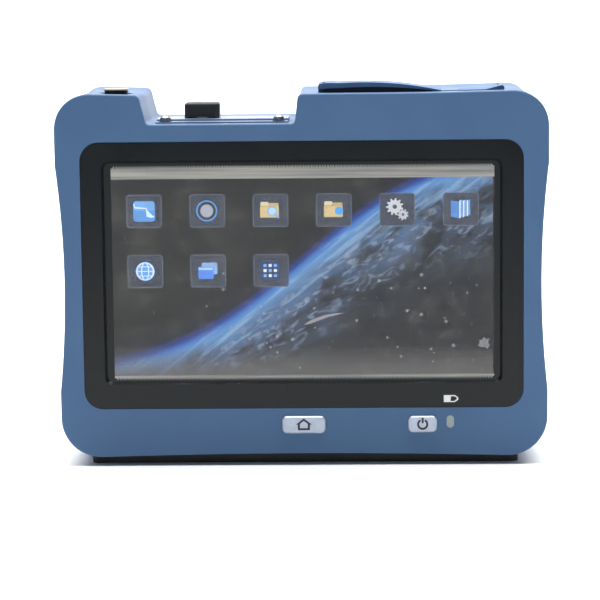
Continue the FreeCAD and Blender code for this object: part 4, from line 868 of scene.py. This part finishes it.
# Tall round heads on the plate's screws.
heads = {"taller": 1.2, "under": 2.1, "narrow": 0.24, "waist": 0.93, "radius": 2.59}
screwLow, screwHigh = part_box("port_plate_screws")


def raiseHead(point):
    seat = screwHigh[2] - heads["under"] * mm
    if point.z <= seat:
        return
    reach = heads["radius"] * mm
    onLeft = point.x < (screwLow[0] + screwHigh[0]) / 2
    middle = screwLow[0] + reach if onLeft else screwHigh[0] - reach
    across = (screwLow[1] + screwHigh[1]) / 2
    width = heads["waist"] - heads["narrow"] * (point.z - seat) / (heads["under"] * mm)
    point.x = middle + (point.x - middle) * width
    point.y = across + (point.y - across) * width
    point.z = seat + (point.z - seat) * heads["taller"]


copyNode("port_plate_screws", "plateScrews", zincSteel, "case", raiseHead)
print("stage: case dressed")

# Away from its hinge each cover lies lower than it was drawn.
covers = {"flat": 152.0, "flap": 0.87, "flapFrom": 10.0, "flapFull": 16.0,
          "jackFlat": 152.3, "jack": 0.3, "jackFull": 76.5, "jackFrom": 79.3}


def lowerAbove(point, flat, share):
    if point.z > flat * mm:
        point.z = flat * mm + (point.z - flat * mm) * share


def lowerFlap(point):
    away = ease(point.x / mm, covers["flapFrom"], covers["flapFull"])
    lowerAbove(point, covers["flat"], 1 - (1 - covers["flap"]) * away)


def lowerJackCover(point):
    away = 1 - ease(point.x / mm, covers["jackFull"], covers["jackFrom"])
    lowerAbove(point, covers["jackFlat"], 1 - (1 - covers["jack"]) * away)


copyNode("port_cover", "portFlap", blueElastomer, "port_cover_body", lowerFlap)
copyNode("jack_cover", "jackFlap", blueElastomer, "jack_cover_body", lowerJackCover)

# A black block fills the space under the large cover's arch, set back from its edge.
# Its black is painted shade under the arch.
underArchShade = {"set": 0.9, "left": 2.3, "right": 1.2, "overSocket": 1.2, "above": 0.45, "least": 0.3,
        "inEdge": 0.3, "tuck": 0.25, "steps": 18, "ink": "#101112"}
coverLow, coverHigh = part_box("port_cover")
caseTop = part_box("network_socket")[1][2] + underArchShade["overSocket"] * mm
shadeFoot = caseTop + underArchShade["above"] * mm
flapMesh = nodes["port_cover"].data
flapTree = BVHTree.FromPolygons([vert.co.copy() for vert in flapMesh.vertices],
                                [tuple(face.vertices) for face in flapMesh.polygons])


# The height of the open space under the cover's arch, or just over the case where the cover
# is solid. Two rays look up inside the cover's long edges.
def archHeight(x):
    heights = []
    for y in (coverLow[1] + underArchShade["inEdge"] * mm, coverHigh[1] - underArchShade["inEdge"] * mm):
        spot, normal, face, gap = flapTree.ray_cast(Vector((x, y, shadeFoot)), Vector((0, 0, 1)))
        heights.append(spot.z if spot is not None and normal.z < 0 else caseTop)
    edge = Vector((x, 0, min(heights)))
    lowerFlap(edge)
    return edge.z + underArchShade["tuck"] * mm


left, right = coverLow[0] + underArchShade["left"] * mm, coverHigh[0] - underArchShade["right"] * mm
across = [left + (right - left) * step / underArchShade["steps"] for step in range(underArchShade["steps"] + 1)]
arch = [(x, archHeight(x)) for x in across if archHeight(x) > shadeFoot + underArchShade["least"] * mm]
shadeBlock = bmesh.new()
addPlate(shadeBlock, [(x, shadeFoot) for x, height in arch] + arch[::-1], coverHigh[1] - underArchShade["set"] * mm,
         coverLow[1] + underArchShade["set"] * mm, underArchShade["ink"])
# This black block is painted shade in the gap under the cover.
newPiece("coverSeal", shadeBlock, blackRubber, "port_cover_body")
print("stage: covers lowered, and the seal follows the arch at", len(arch), "places")

# The film's back clears the glass by the layers of the symbols, and its long edges are cut back.
filmLow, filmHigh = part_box("screen_film")


def liftFilm(point):
    if point.y > screenFace - 0.01 * mm:
        point.y = screenFace - film["backGap"] * mm
    if point.z > (filmLow[2] + filmHigh[2]) / 2:
        point.z -= film["topCut"] * mm
    else:
        point.z += film["footCut"] * mm


filmSheet = filmMaterial(film)
copyNode("screen_film", "protectiveFilm", filmSheet, "case", liftFilm)

# The edges are cut with pinking shears, so they end in small teeth.
teeth = {"pitch": 1.1, "wide": 0.9, "high": 0.75, "seat": 0.12, "thick": 0.05, "behind": 0.16}
toothCount = int((filmHigh[0] - filmLow[0]) / mm / teeth["pitch"]) - 1
toothStart = (filmLow[0] + filmHigh[0]) / 2 - teeth["pitch"] * mm * (toothCount - 1) / 2
for name, edge, way in (("upperTeeth", filmHigh[2] - film["topCut"] * mm, 1),
                        ("lowerTeeth", filmLow[2] + film["footCut"] * mm, -1)):
    tooth = [(teeth["wide"] / 2 * side, -way * teeth["seat"]) for side in (-1, 1)]
    tooth.append((0.0, way * teeth["high"]))
    addRow(name, tooth, teeth["thick"], (toothStart, filmHigh[1] - teeth["behind"] * mm, edge),
           (teeth["pitch"] * mm, 0, 0), toothCount, filmSheet, "case")
print("stage: film laid")

# The stylus ends in a flat tan head on a narrower black neck, and both stand above the slot.
# The neck's black is painted shade under the head.
penLow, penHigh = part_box("stylus")
penX, penY = (penLow[0] + penHigh[0]) / 2, (penLow[1] + penHigh[1]) / 2
penTip = {"from": 0.9, "reach": 1.5}
head = {"wide": 10.0, "deep": 7.4, "corner": 2.2, "bottom": 153.4, "top": 154.25}
shadeNeck = {"wide": 9.4, "deep": 6.8, "corner": 1.8, "bottom": 151.9, "top": 153.45}
edges = {"lowInset": 0.4, "lowHigh": 0.2, "topInset": 0.6, "topHigh": 0.3}
for name, part, material in (("stylusHead", head, stylusAbs), ("stylusNeck", shadeNeck, blackRubber)):
    levels = ((edges["lowInset"], part["bottom"]), (0.0, part["bottom"] + edges["lowHigh"]),
              (0.0, part["top"] - edges["topHigh"]), (edges["topInset"], part["top"]))
    slab = bmesh.new()
    addBlock(slab, [[(penX + x * mm, penY + y * mm, height * mm)
                     for x, y in roundedRect(part["wide"] - inset, part["deep"] - inset,
                                             part["corner"] - inset / 2)]
                    for inset, height in levels])
    newPiece(name, slab, material, "stylus_body")


def reachNeck(point):
    if point.z > penHigh[2] - penTip["from"] * mm:
        point.z += penTip["reach"] * mm


copyNode("stylus", "stylusPen", stylusAbs, "stylus_body", reachNeck)
print("stage: stylus placed")

# The keys stand back by the thickness of the ink on them.
keys = {"inkRoom": 0.05, "ink": "#12161c"}
keyFace = {}
for node, name, body in (("home_key", "homeKeyCap", "home_button"),
                         ("power_key", "powerKeyCap", "power_button")):
    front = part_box(node)[0][1]
    keyFace[node] = front + keys["inkRoom"] * mm

    def lowerFace(point, front=front):
        if point.y < front + 0.01 * mm:
            point.y = front + keys["inkRoom"] * mm

    copyNode(node, name, silverPaint, body, lowerFace)


def middleOf(node):
    low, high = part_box(node)
    return (low[0] + high[0]) / 2, (low[2] + high[2]) / 2


house = [(0.0, -2.2), (2.5, -2.2), (2.5, 0.15), (3.3, 0.15), (0.0, 2.75), (-3.3, 0.15), (-2.5, 0.15),
         (-2.5, -2.2)]
inside = [(0.0, -1.35), (1.6, -1.35), (1.6, 0.45), (0.0, 1.65), (-1.6, 0.45), (-1.6, -1.35)]
addSymbol("homeSymbol", [(frameBand(house, inside), keys["ink"], 0)], middleOf("home_key"),
          keyFace["home_key"], printedInk, "home_button")
addSymbol("powerSymbol", [(arcBand(2.3, 1.45, 118, 422), keys["ink"], 0),
                          (roundedRect(0.85, 2.4, 0.3, 0, 1.6), keys["ink"], 0)],
          middleOf("power_key"), keyFace["power_key"], printedInk, "power_button")

# A battery, printed white on the bezel under the screen.
battery = {"centre": (60.2, 27.4), "ink": "#e9ecef"}
shell = [(0.0, 1.45), (-2.9, 1.45), (-2.9, -1.45), (1.6, -1.45), (2.95, -0.5), (2.95, 0.5), (1.6, 1.45)]
hollow = [(0.0, 1.0), (-0.2, -1.0), (1.4, -1.0), (2.4, -0.3), (2.4, 0.3), (1.4, 1.0)]
addSymbol("batterySymbol", [(frameBand(shell, hollow), battery["ink"], 0)],
          (battery["centre"][0] * mm, battery["centre"][1] * mm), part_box("bezel")[0][1], printedInk, "case")
print("stage: symbols printed")

# Gold plated contacts stand in a row in each socket. Their depth is measured from the rear of
# the network socket, and from the middle of each smaller one.
goldPlate = surface("gold plated contact", ("#c89b3c", "#d8ae52"), 0.3, 1.5, (0.2, 0.3), 0.05, Metallic=1.0)
networkContacts = {"count": 8, "pitch": 1.02, "width": 0.45, "high": 8.5, "back": -3.0, "below": 6.5}
usbContacts = {"count": 4, "pitch": 2.0, "width": 1.0, "high": 6.0, "back": 0.3, "below": 5.0}
contact = {"corner": 0.1, "thick": 0.2}


def addContacts(name, plan, middle, y, top):
    outline = roundedRect(plan["width"], plan["high"], contact["corner"])
    start = (middle - plan["pitch"] * mm * (plan["count"] - 1) / 2, y + plan["back"] * mm,
             top - plan["below"] * mm)
    addRow(name, outline, contact["thick"], start, (plan["pitch"] * mm, 0, 0), plan["count"], goldPlate,
           "case")


low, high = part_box("network_socket")
addContacts("networkContacts", networkContacts, (low[0] + high[0]) / 2, high[1], high[2])
low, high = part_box("usb_sockets")
for name, share in (("usbContacts1", 0.25), ("usbContacts2", 0.75)):
    addContacts(name, usbContacts, low[0] + (high[0] - low[0]) * share, (low[1] + high[1]) / 2, high[2])
print("stage: contacts set")

# A white paper sweep under soft studio light.
studio = {"paper": "#fbfbfb", "nearEdge": -2.6, "farEdge": 2.2, "halfWidth": 3.5, "bend": 1.0, "height": 3.0,
          "curveSteps": 24, "world": "#ffffff", "worldStrength": 0.13}


def addSweep(values):
    bendStart = values["farEdge"] - values["bend"]
    profile = [(values["nearEdge"], 0.0), (bendStart, 0.0)]
    for step in range(1, values["curveSteps"] + 1):
        angle = math.pi / 2 * step / values["curveSteps"]
        profile.append((bendStart + values["bend"] * math.sin(angle),
                        values["bend"] * (1 - math.cos(angle))))
    profile.append((values["farEdge"], values["height"]))
    bm = bmesh.new()
    sides = (-values["halfWidth"], values["halfWidth"])
    rows = [[bm.verts.new((x, y, z)) for x in sides] for y, z in profile]
    for near, far in zip(rows, rows[1:]):
        face = bm.faces.new((near[0], near[1], far[1], far[0]))
        face.smooth = True
    # Seamless paper roll: matt white with faint fibres.
    paper = surface("seamless white paper", (values["paper"], "#ffffff"), 3, 300, (0.9, 0.95), 0.02)
    newObject("paperSweep", bm, paper)


def addSoftbox(name, place, target, size, energy):
    data = bpy.data.lights.new(name, "AREA")
    data.shape = "RECTANGLE"
    data.size, data.size_y = size
    data.energy = energy
    lamp = bpy.data.objects.new(name, data)
    lamp.location = place
    lamp.rotation_euler = (Vector(target) - Vector(place)).to_track_quat("-Z", "Y").to_euler()
    bpy.context.scene.collection.objects.link(lamp)


def addWorld(values):
    world = bpy.data.worlds.new("studio")
    world.use_nodes = True
    sky = world.node_tree.nodes["Background"]
    sky.inputs["Color"].default_value = linearColour(values["world"])
    sky.inputs["Strength"].default_value = values["worldStrength"]
    bpy.context.scene.world = world


addSweep(studio)
addWorld(studio)
softboxes = {
    "overhead": {"place": (0, 0.75, 1.7), "target": (0, 0.5, 0), "size": (3.2, 2.4), "energy": 56},
    "nearTable": {"place": (0, -0.15, 1.2), "target": (0, -0.15, 0), "size": (1.5, 0.16), "energy": 12},
    "backdropWash": {"place": (0, 0.9, 2.6), "target": (0, 2, 0.6), "size": (4.5, 1.2), "energy": 70},
    "frontFill": {"place": (0.3, -2, 0.9), "target": (0, 0, 0.08), "size": (1.6, 1), "energy": 1},
}
for name, values in softboxes.items():
    addSoftbox(name, **values)
bpy.context.scene.view_settings.view_transform = "Standard"
print("stage: room lit")
